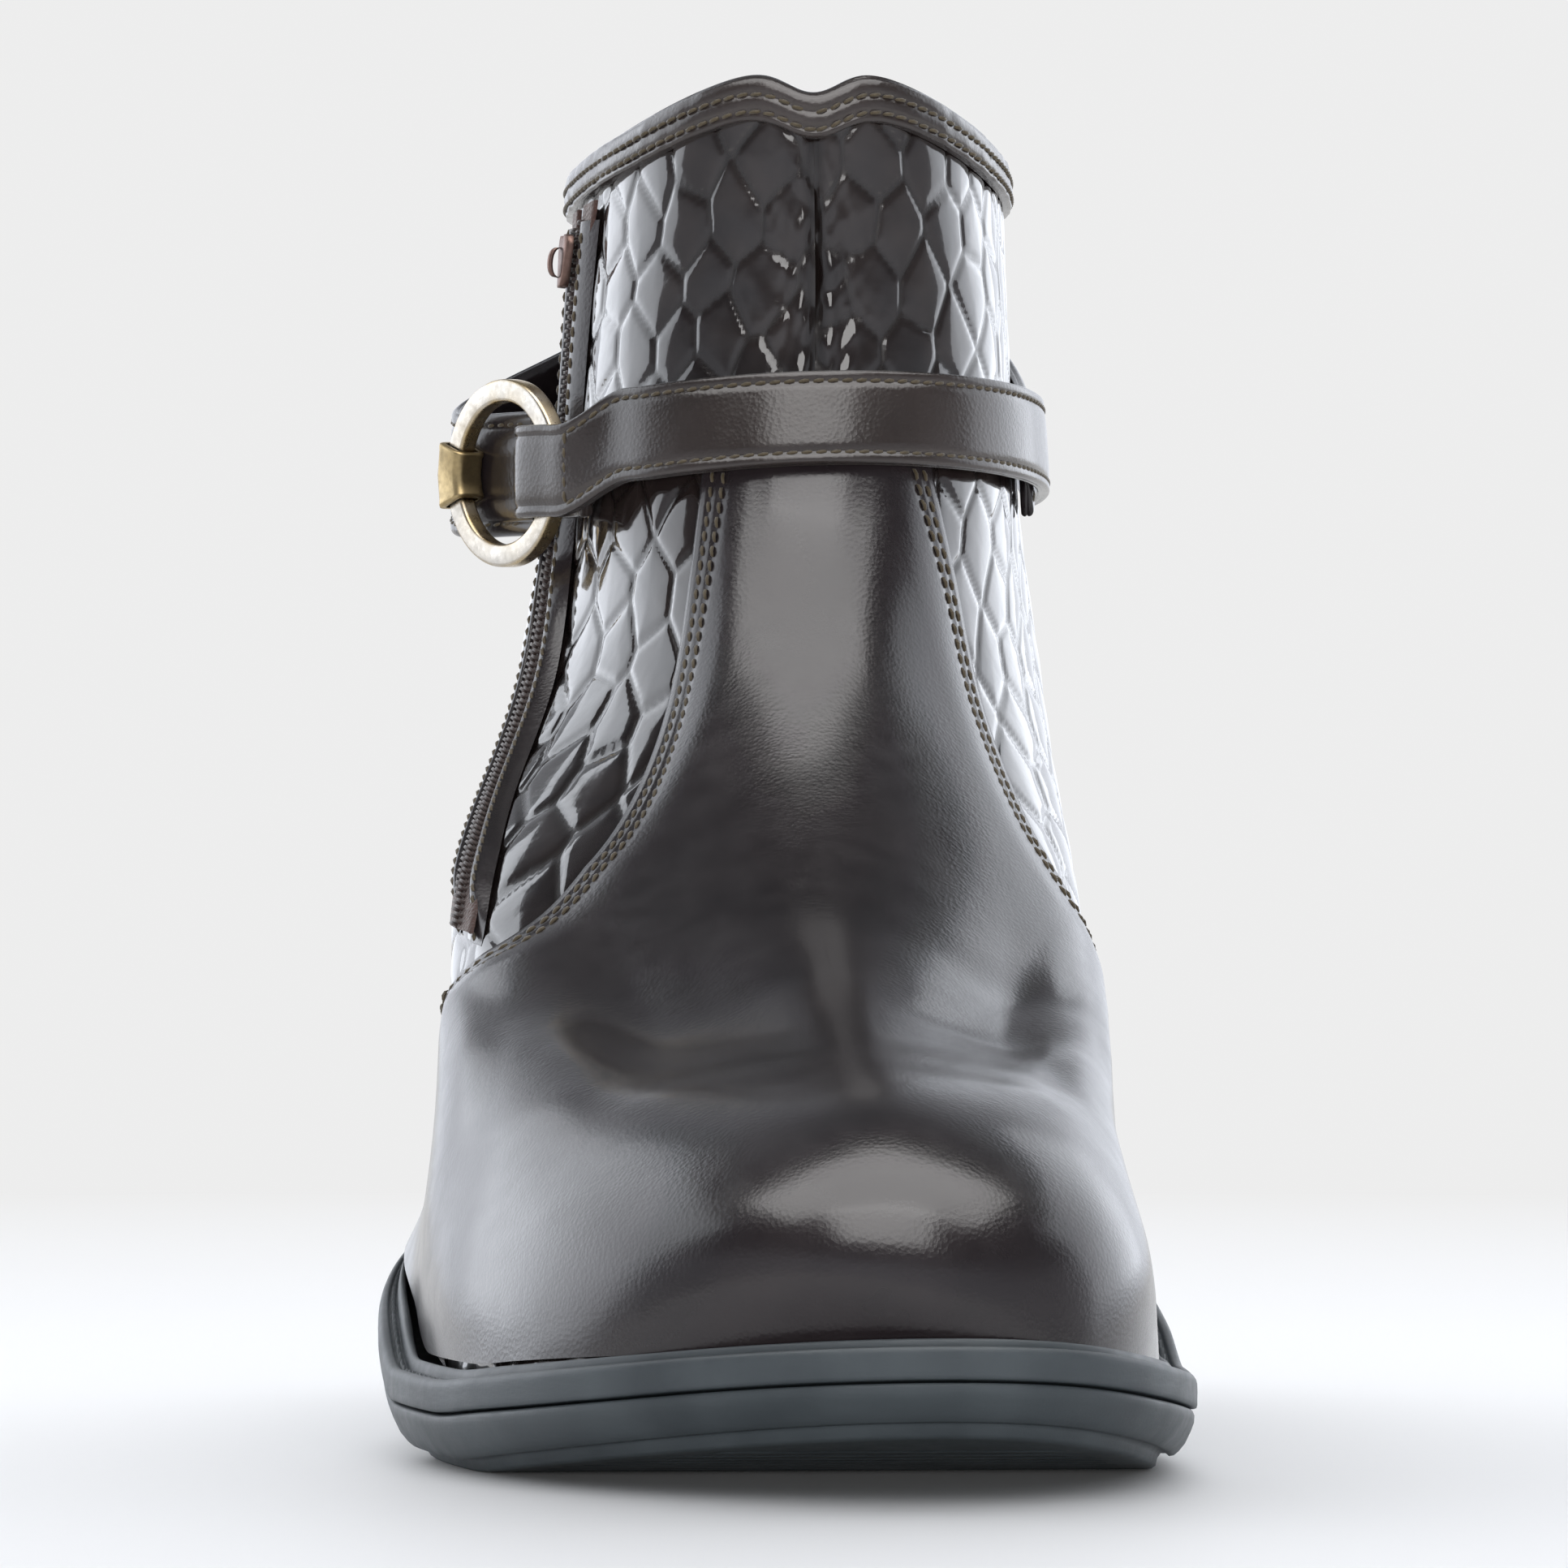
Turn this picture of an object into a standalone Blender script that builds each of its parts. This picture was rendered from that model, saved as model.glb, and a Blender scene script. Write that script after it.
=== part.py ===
"""Leather ankle boot for the right foot, with a side zip and a strap that carries a flat metal ring.

Metres, +Z up. The toe points to -Y and the outer (lateral) side of the foot to -X. The origin is
on the floor, under the middle of the outsole's box. "Along" is measured back from the toe tip and
"turn" is an angle round a section: 0 at the toe side, +90 on the inner side, 180 at the heel.
"""
import math

import bpy
import numpy as np

# Driving sizes
OUTSOLE_LENGTH = 0.272
BALL_WIDTH = 0.098          # widest part of the outsole
SHAFT_HEIGHT = 0.132        # from the welt's ledge up to the collar at the back
HEEL_HEIGHT = 0.0246        # floor to the outsole's underside at the heel
TOE_SPRING = 0.0078         # lift of the outsole's tip over the forefoot
OUTSOLE_THICKNESS = 0.0053
TREAD_HEIGHT = 0.0015       # raised tread platform under the forefoot
WELT_THICKNESS = 0.0039
HEEL_TIP_THICKNESS = 0.0062
INSOLE_THICKNESS = 0.0032
INSOLE_CLEARANCE = 0.0008   # insole's edge to the wall
LEDGE_WIDTH = 0.0042        # welt showing outside the upper, forefoot
HEEL_LEDGE_WIDTH = 0.0020
LIP_HEIGHT = 0.0012         # rolled lip of the welt over its ledge
GROOVE_DEPTH = 0.0009
SEAT_DEPTH = 0.0009         # the welt's seat under the upper lies this much below its ledge
EDGE_ROUND = 0.0006         # softened edges of the sole's layers
SOLE_TAPER = 0.0024         # the outsole's side draws in by this much down to its underside
UPPER_WALL = 0.0022         # leather with its lining
VAMP_THICKNESS = 0.0010     # smooth leather sewn over the quarters
VAMP_GAP = 0.0009           # under the vamp, whose facets cross the upper's
FIT_GAP = 0.0003
COLLAR_NOTCH = 0.0036
BINDING_HEIGHT = 0.0047
BINDING_THICKNESS = 0.0008
TAPE_WIDTH = 0.0110
TAPE_GAP = 0.0007
TAPE_THICKNESS = 0.0005
COIL_WIDTH = 0.0042
COIL_THICKNESS = 0.0008
SLIDER_LENGTH = 0.0070
SLIDER_WIDTH = 0.0062
SLIDER_THICKNESS = 0.0026
FRONT_STRAP_WIDTH = 0.0122
REAR_STRAP_WIDTH = 0.0165
STRAP_THICKNESS = 0.0017
STRAP_STANDOFF = 0.0026     # front strap's clearance over the shaft's leather
STRAP_FOLD_LENGTH = 0.0050  # strap end folded back past the ring's limb
RING_OUTER_RADIUS = 0.0125
RING_BAND = 0.0030
RING_THICKNESS = 0.0025
RING_REACH = 0.0262         # ring's middle past the point where the strap leaves the shaft
RING_LIFT = 0.0018          # ring's plane out from the strap's straight run, which keeps the fold off the shaft
RING_EDGE_ROUND = 0.0004
CLIP_HEIGHT = 0.0074
CLIP_THICKNESS = 0.0009

# How finely the forms are drawn
COLUMNS = 58                # points round the boot
VAMP_COLUMNS = 28
STRAP_STEP = 0.0045
ZIP_ROWS = 18
SLIDER_ROWS = 4
RING_STEPS = 32
MERGE_DISTANCE = 0.00001
ROWS_BETWEEN_SECTIONS = (1, 3, 3, 3, 3, 2, 2)

# Outsole outline: half turns in degrees, and how far the edge lies to the inner (+) or outer (-)
# side of the sole's middle line, in hundredths of the ball width
OUTLINE_TURNS = (0, 30, 60, 90, 120, 150, 180)
OUTLINE_INNER = (12.2, 38.6, 46.8, 45.4, 41.1, 36.7, 9.2)
OUTLINE_OUTER = (12.2, -26.6, -46.6, -44.0, -26.5, -18.4, 9.2)

# Sole seen from the side: place along in shares of the length, lift in shares of the toe spring
# and of the heel height, and the outsole's thickness as a share of its full thickness
SOLE_COLUMNS = ("along", "toe_lift", "heel_lift", "thickness")
SOLE_STATIONS = (
    (0.000, 1.00, 0.00, 0.80),
    (0.070, 0.52, 0.00, 0.88),
    (0.140, 0.18, 0.00, 0.96),
    (0.195, 0.00, 0.00, 1.00),
    (0.275, 0.00, 0.00, 1.00),
    (0.345, 0.00, 0.19, 1.00),
    (0.500, 0.00, 0.50, 1.00),
    (0.620, 0.00, 0.71, 1.00),
    (0.740, 0.00, 0.94, 1.00),
    (0.820, 0.00, 1.00, 1.00),
    (1.000, 0.00, 1.00, 1.00),
)

# Sections of the upper over the feather line, from the toe box to the collar. Front and back ends
# are in hundredths of the outsole's length, rises over the welt's ledge in hundredths of the shaft
# height, and the widths at each turn in hundredths of the ball width.
SECTION_COLUMNS = (
    "front", "back", "rise_0", "rise_60", "rise_90", "rise_180",
    "in_30", "in_60", "in_90", "in_120", "in_150",
    "out_30", "out_60", "out_90", "out_120", "out_150", "mid_0", "mid_180",
)
SECTIONS = {
    "toe_box": (1.9, 99.5, 7.6, 12.1, 9.1, 12.1,
                34.8, 40.6, 38.8, 38.2, 34.0, -20.6, -40.2, -37.8, -23.4, -16.4, 7.7, 9.2),
    "toe_top": (4.8, 99.4, 16.6, 21.4, 18.6, 24.2,
                28.8, 39.6, 40.6, 37.4, 31.8, -14.0, -36.6, -37.0, -22.2, -14.6, 7.1, 9.0),
    "ball": (18.6, 99.0, 28.6, 27.2, 26.3, 34.8,
             20.2, 39.6, 43.6, 38.8, 30.1, -5.9, -33.8, -37.0, -22.6, -12.2, 7.1, 9.0),
    "instep": (37.5, 97.8, 38.9, 37.6, 38.0, 46.2,
               23.4, 40.4, 43.6, 37.4, 28.6, -10.6, -34.0, -31.6, -20.9, -10.7, 6.4, 9.0),
    "throat": (49.4, 96.7, 53.8, 51.9, 52.0, 59.1,
               21.0, 36.6, 43.0, 37.8, 26.0, -6.7, -20.9, -27.0, -20.9, -8.7, 7.1, 8.7),
    "ankle": (57.2, 96.1, 73.9, 70.8, 70.2, 72.7,
              26.8, 37.6, 40.6, 37.0, 25.8, -7.9, -18.6, -21.6, -18.1, -6.8, 9.5, 9.5),
    "collar": (61.0, 97.1, 111.6, 101.8, 98.0, 100.0,
               26.2, 36.2, 39.6, 36.2, 26.2, -5.8, -15.8, -19.2, -15.8, -5.8, 10.2, 10.2),
}

# Panels on the upper, one row a section from the feather line up: how far round the vamp reaches
# on each side, and where the middle of the zip lies, in degrees of turn
PANEL_COLUMNS = ("level", "vamp_inner", "vamp_outer", "zip")
PANELS = (
    (0.0, 94, -94, -100),
    (1.0, 91, -90, -92),
    (2.0, 86, -84, -86),
    (2.5, 82, -79, -81),
    (3.0, 77, -72, -73),
    (3.5, 66, -56, -65),
    (4.0, 54, -43, -63),
    (4.5, 50, -38, -69),
    (5.0, 47, -35, -74),
    (5.5, 39, -29, -76),
    (6.0, 26, -23, -74),
    (7.0, 24, -20, -69),
)
VAMP_BOTTOM_LEVEL = 0.09
VAMP_TOP_LEVEL = 6.15
ZIP_BOTTOM_LEVEL = 3.5
ZIP_TOP_LEVEL = 6.86
SLIDER_LEVEL = 6.68
COIL_TOP_LEVEL = 6.58

# Straps: turn round the shaft in degrees, and the strap's middle over the ledge at the back, in
# hundredths of the shaft height
FRONT_STRAP_ROUTE = ((100, 69.5), (60, 71.0), (0, 72.0), (-30, 71.0))
STRAP_LEAVES_SHAFT = -40    # turn where the front strap runs off straight to the ring
RING_HEIGHT = 0.675         # ring's middle, in shares of the shaft height
REAR_STRAP_ROUTE = ((-126, 76.5), (-150, 79.5), (-178, 80.5), (-210, 80.0), (-242, 77.5), (-272, 72.0), (-288, 69.5))


def smooth_slopes(knots, points):
    """Slopes of the natural cubic through the points."""
    steps = np.diff(knots)
    chords = np.diff(points, axis=0) / steps[:, None]
    count = len(knots)
    matrix = np.zeros((count, count))
    right = np.zeros_like(points)
    matrix[0, 0:2] = 2, 1
    matrix[-1, -2:] = 1, 2
    right[0] = 3 * chords[0]
    right[-1] = 3 * chords[-1]
    for i in range(1, count - 1):
        matrix[i, i - 1:i + 2] = steps[i], 2 * (steps[i - 1] + steps[i]), steps[i - 1]
        right[i] = 3 * (steps[i] * chords[i - 1] + steps[i - 1] * chords[i])
    return np.linalg.solve(matrix, right)


def on_curve(knots, points, slopes, place):
    """Point of a cubic curve at a place on its knots."""
    i = int(np.clip(np.searchsorted(knots, place) - 1, 0, len(knots) - 2))
    step = knots[i + 1] - knots[i]
    f = (place - knots[i]) / step
    return (
        (1 + 2 * f) * (1 - f) ** 2 * points[i]
        + f * (1 - f) ** 2 * step * slopes[i]
        + f * f * (3 - 2 * f) * points[i + 1]
        + f * f * (f - 1) * step * slopes[i + 1]
    )


def curve(knots, points):
    """Function that reads the natural cubic through the points at any place."""
    knots = np.asarray(knots, dtype=float)
    points = np.asarray(points, dtype=float).reshape(len(knots), -1)
    slopes = smooth_slopes(knots, points)
    return lambda place: on_curve(knots, points, slopes, place)


def closed_curve(turns, values):
    """Curve through values round a full turn, read at any turn from -180 to 360."""
    turns = np.asarray(turns, dtype=float)
    knots = np.concatenate([turns - 360, turns, turns + 360])
    return curve(knots, np.tile(np.asarray(values, dtype=float), 3))


def level_curve(knots, values):
    """Curve that never overshoots, so that equal neighbours stay level between them."""
    knots = np.asarray(knots, dtype=float)
    values = np.asarray(values, dtype=float)
    chords = np.diff(values) / np.diff(knots)
    slopes = np.zeros(len(knots))
    for i in range(1, len(knots) - 1):
        if chords[i - 1] * chords[i] > 0:
            slopes[i] = 2 * chords[i - 1] * chords[i] / (chords[i - 1] + chords[i])
    slopes[0] = chords[0]
    points = values[:, None]
    return lambda place: on_curve(knots, points, slopes[:, None], place)[0]


def eased(low, high, value):
    """Smooth step from 0 at low to 1 at high."""
    share = min(max((value - low) / (high - low), 0.0), 1.0)
    return share * share * (3 - 2 * share)


def column(table, columns, name):
    return [row[columns.index(name)] for row in table]


# Sole forms

OUTLINE_KNOTS = list(OUTLINE_TURNS) + [360 - turn for turn in OUTLINE_TURNS[-2:0:-1]]
OUTLINE_EDGE = closed_curve(OUTLINE_KNOTS, list(OUTLINE_INNER) + list(OUTLINE_OUTER[-2:0:-1]))
EDGE_SAMPLES = [OUTLINE_EDGE(turn)[0] for turn in np.arange(0, 360, 0.5)]
EDGE_MIDDLE = (max(EDGE_SAMPLES) + min(EDGE_SAMPLES)) / 2
EDGE_SCALE = BALL_WIDTH / (max(EDGE_SAMPLES) - min(EDGE_SAMPLES))

SOLE_ALONG = column(SOLE_STATIONS, SOLE_COLUMNS, "along")
TOE_LIFT = level_curve(SOLE_ALONG, column(SOLE_STATIONS, SOLE_COLUMNS, "toe_lift"))
HEEL_LIFT = level_curve(SOLE_ALONG, column(SOLE_STATIONS, SOLE_COLUMNS, "heel_lift"))
SOLE_BODY = level_curve(SOLE_ALONG, column(SOLE_STATIONS, SOLE_COLUMNS, "thickness"))

WAIST_START = 0.34          # shares of the length where the forefoot gives way to the waist
WAIST_END = 0.50
HEEL_BREAST = 0.705


def outline(turn):
    """Edge of the outsole as x and place along."""
    along = OUTSOLE_LENGTH / 2 * (1 - math.cos(math.radians(turn)))
    across = (OUTLINE_EDGE(turn % 360)[0] - EDGE_MIDDLE) * EDGE_SCALE
    return np.array([across, along])


def inset_outline(turn, inset):
    """Edge of the outsole moved in by a distance."""
    before = outline(turn - 1)
    after = outline(turn + 1)
    run = after - before
    run /= np.linalg.norm(run)
    return outline(turn) + inset * np.array([-run[1], run[0]])


def share_along(along):
    return min(max(along / OUTSOLE_LENGTH, 0.0), 1.0)


def underside(along):
    """Height of the outsole's underside, beside the tread platform."""
    place = share_along(along)
    return TREAD_HEIGHT + TOE_SPRING * TOE_LIFT(place) + (HEEL_HEIGHT - TREAD_HEIGHT) * HEEL_LIFT(place)


def outsole_top(along):
    return underside(along) + OUTSOLE_THICKNESS * SOLE_BODY(share_along(along))


def ledge(along):
    """Height of the welt's ledge."""
    return outsole_top(along) + FIT_GAP + WELT_THICKNESS


def ledge_width(along):
    back = eased(WAIST_START, WAIST_END, share_along(along))
    return LEDGE_WIDTH + (HEEL_LEDGE_WIDTH - LEDGE_WIDTH) * back


def feather_inset(along):
    """Distance from the outsole's edge in to the upper, which makes room for the vamp in front."""
    front = 1 - eased(WAIST_START, WAIST_END, share_along(along))
    return ledge_width(along) + FIT_GAP + (VAMP_THICKNESS + VAMP_GAP) * front


def place(across, along, up):
    """World place of a point given along the boot."""
    return np.array([across, along - OUTSOLE_LENGTH / 2, up])


# Upper forms

def section_curves(row):
    """Curves round one section: how far across, and the rise over the ledge."""
    value = dict(zip(SECTION_COLUMNS, row))
    across = [value["mid_0"]]
    across += [value["in_%d" % turn] for turn in (30, 60, 90, 120, 150)]
    across += [value["mid_180"]]
    across += [value["out_%d" % turn] for turn in (150, 120, 90, 60, 30)]
    rises = [value["rise_%d" % turn] for turn in (0, 60, 90, 180, 90, 60)]
    return (
        closed_curve(range(0, 360, 30), np.array(across) / 100 * BALL_WIDTH),
        closed_curve((0, 60, 90, 180, 270, 300), np.array(rises) / 100 * SHAFT_HEIGHT),
        value["front"] / 100 * OUTSOLE_LENGTH,
        value["back"] / 100 * OUTSOLE_LENGTH,
    )


SECTION_FORMS = [section_curves(row) for row in SECTIONS.values()]
TOP_LEVEL = len(SECTION_FORMS)
NOTCH_SPREAD = 9.0          # degrees of turn


def section_point(form, turn):
    across, rise, front, back = form
    along = (front + back) / 2 - (back - front) / 2 * math.cos(math.radians(turn))
    return place(across(turn % 360)[0], along, ledge(along) + rise(turn % 360)[0])


def feather_point(turn):
    inset = feather_inset(outline(turn)[1])
    across, along = inset_outline(turn, inset)
    return place(across, along, ledge(along) + FIT_GAP)


COLUMN_CACHE = {}


def upper_column(turn):
    """Curve up the boot at one turn, read at levels from 0 at the feather line to TOP_LEVEL."""
    key = round(turn % 360, 4)
    if key not in COLUMN_CACHE:
        points = [feather_point(turn)] + [section_point(form, turn) for form in SECTION_FORMS]
        points = np.array(points)
        from_front = (turn + 180) % 360 - 180
        points[-1][2] -= COLLAR_NOTCH * math.exp(-(from_front / NOTCH_SPREAD) ** 2)
        knots = np.concatenate([[0], np.cumsum(np.linalg.norm(np.diff(points, axis=0), axis=1))])
        COLUMN_CACHE[key] = (knots, curve(knots, points))
    return COLUMN_CACHE[key]


def upper_point(turn, level):
    """Outer face of the upper."""
    knots, path = upper_column(turn)
    step = min(int(level), TOP_LEVEL - 1)
    return path(knots[step] + (level - step) * (knots[step + 1] - knots[step]))


def upper_normal(turn, level):
    low = max(level - 0.03, 0.0)
    high = min(level + 0.03, float(TOP_LEVEL))
    round_run = upper_point(turn + 0.6, level) - upper_point(turn - 0.6, level)
    up_run = upper_point(turn, high) - upper_point(turn, low)
    normal = np.cross(round_run, up_run)
    return normal / np.linalg.norm(normal)


def upper_skin(turn, level, out):
    """Point a distance out from the upper's outer face."""
    return upper_point(turn, level) + out * upper_normal(turn, level)


def plan_unit(vector):
    flat = np.array([vector[0], vector[1], 0.0])
    return flat / np.linalg.norm(flat)


def level_at_height(turn, height, low=2.0):
    """Level where the upper reaches a height over the floor."""
    high = float(TOP_LEVEL)
    for _ in range(30):
        middle = (low + high) / 2
        if upper_point(turn, middle)[2] < height:
            low = middle
        else:
            high = middle
    return (low + high) / 2


def panel_curve(name):
    return curve(column(PANELS, PANEL_COLUMNS, "level"), column(PANELS, PANEL_COLUMNS, name))


VAMP_INNER = panel_curve("vamp_inner")
VAMP_OUTER = panel_curve("vamp_outer")
ZIP_LINE = panel_curve("zip")


def section_levels(top):
    """Levels of the drawn rows, up to a top level."""
    levels = []
    for section, rows in enumerate(ROWS_BETWEEN_SECTIONS):
        levels += [section + row / rows for row in range(rows)]
    return [level for level in levels if level < top - 0.05] + [top]


# Scene and mesh helpers

def clear_scene():
    for item in list(bpy.data.objects):
        bpy.data.objects.remove(item, do_unlink=True)


def make_collection(name):
    collection = bpy.data.collections.new(name)
    bpy.context.scene.collection.children.link(collection)
    return collection


def make_material(name, colour, roughness, metallic=0.0):
    material = bpy.data.materials.new(name)
    material.use_nodes = True
    shader = material.node_tree.nodes["Principled BSDF"]
    shader.inputs["Base Color"].default_value = (*colour, 1.0)
    shader.inputs["Roughness"].default_value = roughness
    shader.inputs["Metallic"].default_value = metallic
    return material


def add_object(name, points, faces, material, collection):
    """Object from points and faces, shaded smooth but for its edges."""
    mesh = bpy.data.meshes.new(name)
    mesh.from_pydata([tuple(point) for point in points], [], faces)
    mesh.materials.append(material)
    mesh.shade_smooth()
    mesh.set_sharp_from_angle(angle=math.radians(40))
    item = bpy.data.objects.new(name, mesh)
    collection.objects.link(item)
    return item


def add_sheet(name, grid, wrap, thickness, out, material, collection):
    """Leather or tape: an open surface of rows from the bottom up, made solid by Solidify.

    The thickness grows out of the surface where out is true, and into the boot where it isn't.
    """
    across = len(grid[0])
    points = [point for row in grid for point in row]
    faces = []
    for row in range(len(grid) - 1):
        for step in range(across if wrap else across - 1):
            left = row * across + step
            right = row * across + (step + 1) % across
            faces.append((left, right, right + across, left + across))
    item = add_object(name, points, faces, material, collection)
    solid = item.modifiers.new("Thickness", "SOLIDIFY")
    solid.thickness = thickness
    solid.offset = 1.0 if out else -1.0
    solid.use_even_offset = True
    solid.use_quality_normals = True
    return item


def cap_faces(start, count, upward, first_pair):
    """Strips across a ring whose points face each other over the middle line.

    The first pair is 0 where the ring starts with one point at the toe, and 1 where it starts and
    ends with the two points of a straight front.
    """
    faces = []
    for i in range(count // 2):
        across = count - i - first_pair
        strip = [start + i, start + i + 1, start + (across - 1) % count, start + across % count]
        face = list(dict.fromkeys(strip))
        faces.append(tuple(face if upward else reversed(face)))
    return faces


def add_plate(name, rings, material, collection, first_pair=0):
    """Solid through rings of points from the bottom up, closed by strips across both ends."""
    count = len(rings[0])
    points = [point for ring in rings for point in ring]
    faces = cap_faces(0, count, False, first_pair)
    for level in range(len(rings) - 1):
        for step in range(count):
            left = level * count + step
            right = level * count + (step + 1) % count
            faces.append((left, right, right + count, left + count))
    faces += cap_faces((len(rings) - 1) * count, count, True, first_pair)
    return add_object(name, points, faces, material, collection)


def sole_ring(turns, inset, height):
    """Ring at an inset and a height, each a number or a function of the place along."""
    ring = []
    for turn in turns:
        edge_along = outline(turn)[1]
        across, along = inset_outline(turn, inset(edge_along) if callable(inset) else inset)
        ring.append(place(across, along, height(along)))
    return ring


ROUND_TURNS = [360 * step / COLUMNS for step in range(COLUMNS)]


# Sole pieces

def tread_depth(along):
    """How far the tread platform stands down, which fades out where the waist starts."""
    return TREAD_HEIGHT * (1 - eased(WAIST_START - 0.05, WAIST_START, share_along(along)))


def make_outsole(material, collection):
    platform_inset = SOLE_TAPER + 4 * EDGE_ROUND
    rings = (
        (platform_inset + EDGE_ROUND, lambda along: underside(along) - tread_depth(along)),
        (platform_inset, lambda along: underside(along)),
        (SOLE_TAPER + EDGE_ROUND, lambda along: underside(along)),
        (SOLE_TAPER, lambda along: underside(along) + EDGE_ROUND),
        (EDGE_ROUND / 2, lambda along: outsole_top(along) - EDGE_ROUND),
        (2 * EDGE_ROUND, lambda along: outsole_top(along)),
    )
    return add_plate(
        "outsole", [sole_ring(ROUND_TURNS, inset, height) for inset, height in rings], material, collection
    )


def make_welt(material, collection):
    """Plate whose edge is a section: its share of the ledge's width in from the edge, and its height."""
    def under(along):
        return outsole_top(along) + FIT_GAP

    section = (
        (1.0, under, 0.0),
        (0.25, under, 0.0),
        (0.0, under, EDGE_ROUND),
        (0.0, ledge, -EDGE_ROUND),
        (0.12, ledge, 0.0),
        (0.32, ledge, 0.0),
        (0.40, ledge, -GROOVE_DEPTH),
        (0.58, ledge, -GROOVE_DEPTH),
        (0.66, ledge, LIP_HEIGHT / 2),
        (0.78, ledge, LIP_HEIGHT),
        (0.90, ledge, LIP_HEIGHT * 0.8),
        (1.0, ledge, -SEAT_DEPTH),
    )
    rings = []
    for share, base, lift in section:
        rings.append(sole_ring(
            ROUND_TURNS,
            lambda along, share=share: share * ledge_width(along),
            lambda along, base=base, lift=lift: base(along) + lift,
        ))
    return add_plate("welt", rings, material, collection)


def make_insole(material, collection):
    """Plate inside the upper, whose edge follows the wall's lean."""
    def ring(lift, inset):
        points = []
        for turn in ROUND_TURNS:
            foot = upper_point(turn, 0.0)
            level = level_at_height(turn, foot[2] + lift, 0.0)
            edge = upper_skin(turn, level, 0.0)
            inward = plan_unit(upper_normal(turn, level))
            point = edge - inward * (UPPER_WALL + INSOLE_CLEARANCE + inset)
            point[2] = foot[2] - SEAT_DEPTH + lift
            points.append(point)
        return points

    rings = (
        ring(0.0, 0.0),
        ring(INSOLE_THICKNESS - EDGE_ROUND, 0.0),
        ring(INSOLE_THICKNESS, EDGE_ROUND),
    )
    return add_plate("insole", rings, material, collection)


HEEL_INSET = 0.0016
HEEL_TAPER = 0.0030
HEEL_COLUMNS = 23


def heel_ring(height, inset):
    """Ring of the heel, whose ends meet in its straight breast."""
    start = math.degrees(math.acos(1 - 2 * HEEL_BREAST))
    turns = np.linspace(start, 360 - start, HEEL_COLUMNS)
    ring = []
    for turn in turns:
        across, along = inset_outline(turn, inset)
        ring.append(place(across, along, height(along) if callable(height) else height))
    return ring





def heel_inset(height):
    """The heel narrows evenly from the outsole down to the floor."""
    return HEEL_INSET + HEEL_TAPER * (1 - height / HEEL_HEIGHT)


def make_heel(heel_material, tip_material, collection):
    tip_top = HEEL_TIP_THICKNESS
    block_bottom = tip_top + FIT_GAP
    block = add_plate(
        "heel",
        (
            heel_ring(block_bottom, heel_inset(block_bottom) + EDGE_ROUND),
            heel_ring(block_bottom + EDGE_ROUND, heel_inset(block_bottom)),
            heel_ring(lambda along: underside(along) - FIT_GAP - EDGE_ROUND, heel_inset(HEEL_HEIGHT)),
            heel_ring(lambda along: underside(along) - FIT_GAP, heel_inset(HEEL_HEIGHT) + EDGE_ROUND),
        ),
        heel_material, collection, first_pair=1,
    )
    tip = add_plate(
        "heel_tip",
        (
            heel_ring(0.0, heel_inset(0.0) + EDGE_ROUND),
            heel_ring(EDGE_ROUND, heel_inset(0.0)),
            heel_ring(tip_top - EDGE_ROUND, heel_inset(tip_top)),
            heel_ring(tip_top, heel_inset(tip_top) + EDGE_ROUND),
        ),
        tip_material, collection, first_pair=1,
    )
    return block, tip


# Upper pieces

def make_upper(material, collection):
    grid = [[upper_point(turn, level) for turn in ROUND_TURNS] for level in section_levels(TOP_LEVEL)]
    return add_sheet("upper", grid, True, UPPER_WALL, False, material, collection)


def make_vamp(material, collection):
    """Smooth leather from the feather line up to a tongue under the front strap."""
    grid = []
    for level in [VAMP_BOTTOM_LEVEL] + section_levels(VAMP_TOP_LEVEL)[1:]:
        turns = np.linspace(VAMP_OUTER(level)[0], VAMP_INNER(level)[0], VAMP_COLUMNS + 1)
        grid.append([upper_skin(turn, level, VAMP_GAP) for turn in turns])
    return add_sheet("vamp", grid, False, VAMP_THICKNESS, True, material, collection)


def make_binding(material, collection):
    """Strip folded over the collar's edge."""
    inside = -UPPER_WALL - 2 * FIT_GAP
    fold = (
        (inside, -BINDING_HEIGHT),
        (inside, 0.0),
        (-UPPER_WALL / 2, 2 * FIT_GAP),
        (FIT_GAP, 0.0),
        (FIT_GAP, -BINDING_HEIGHT),
    )
    grid = []
    for out, lift in reversed(fold):
        row = []
        for turn in ROUND_TURNS:
            knots = upper_column(turn)[0]
            drop = min(lift, 0.0) / (knots[-1] - knots[-2])
            point = upper_skin(turn, TOP_LEVEL + drop, out)
            point[2] += max(lift, 0.0) + FIT_GAP
            row.append(point)
        grid.append(row)
    return add_sheet("collar_binding", grid, True, BINDING_THICKNESS, True, material, collection)


def zip_strip(low, high, rows, half_width, out):
    """Rows across the zip's line on the upper's skin."""
    grid = []
    for level in np.linspace(low, high, rows):
        turn = ZIP_LINE(level)[0]
        run = np.linalg.norm(upper_point(turn + 1, level) - upper_point(turn - 1, level)) / 2
        spread = half_width / run
        grid.append([upper_skin(turn + side * spread, level, out) for side in (-1, -0.5, 0, 0.5, 1)])
    return grid


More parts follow.
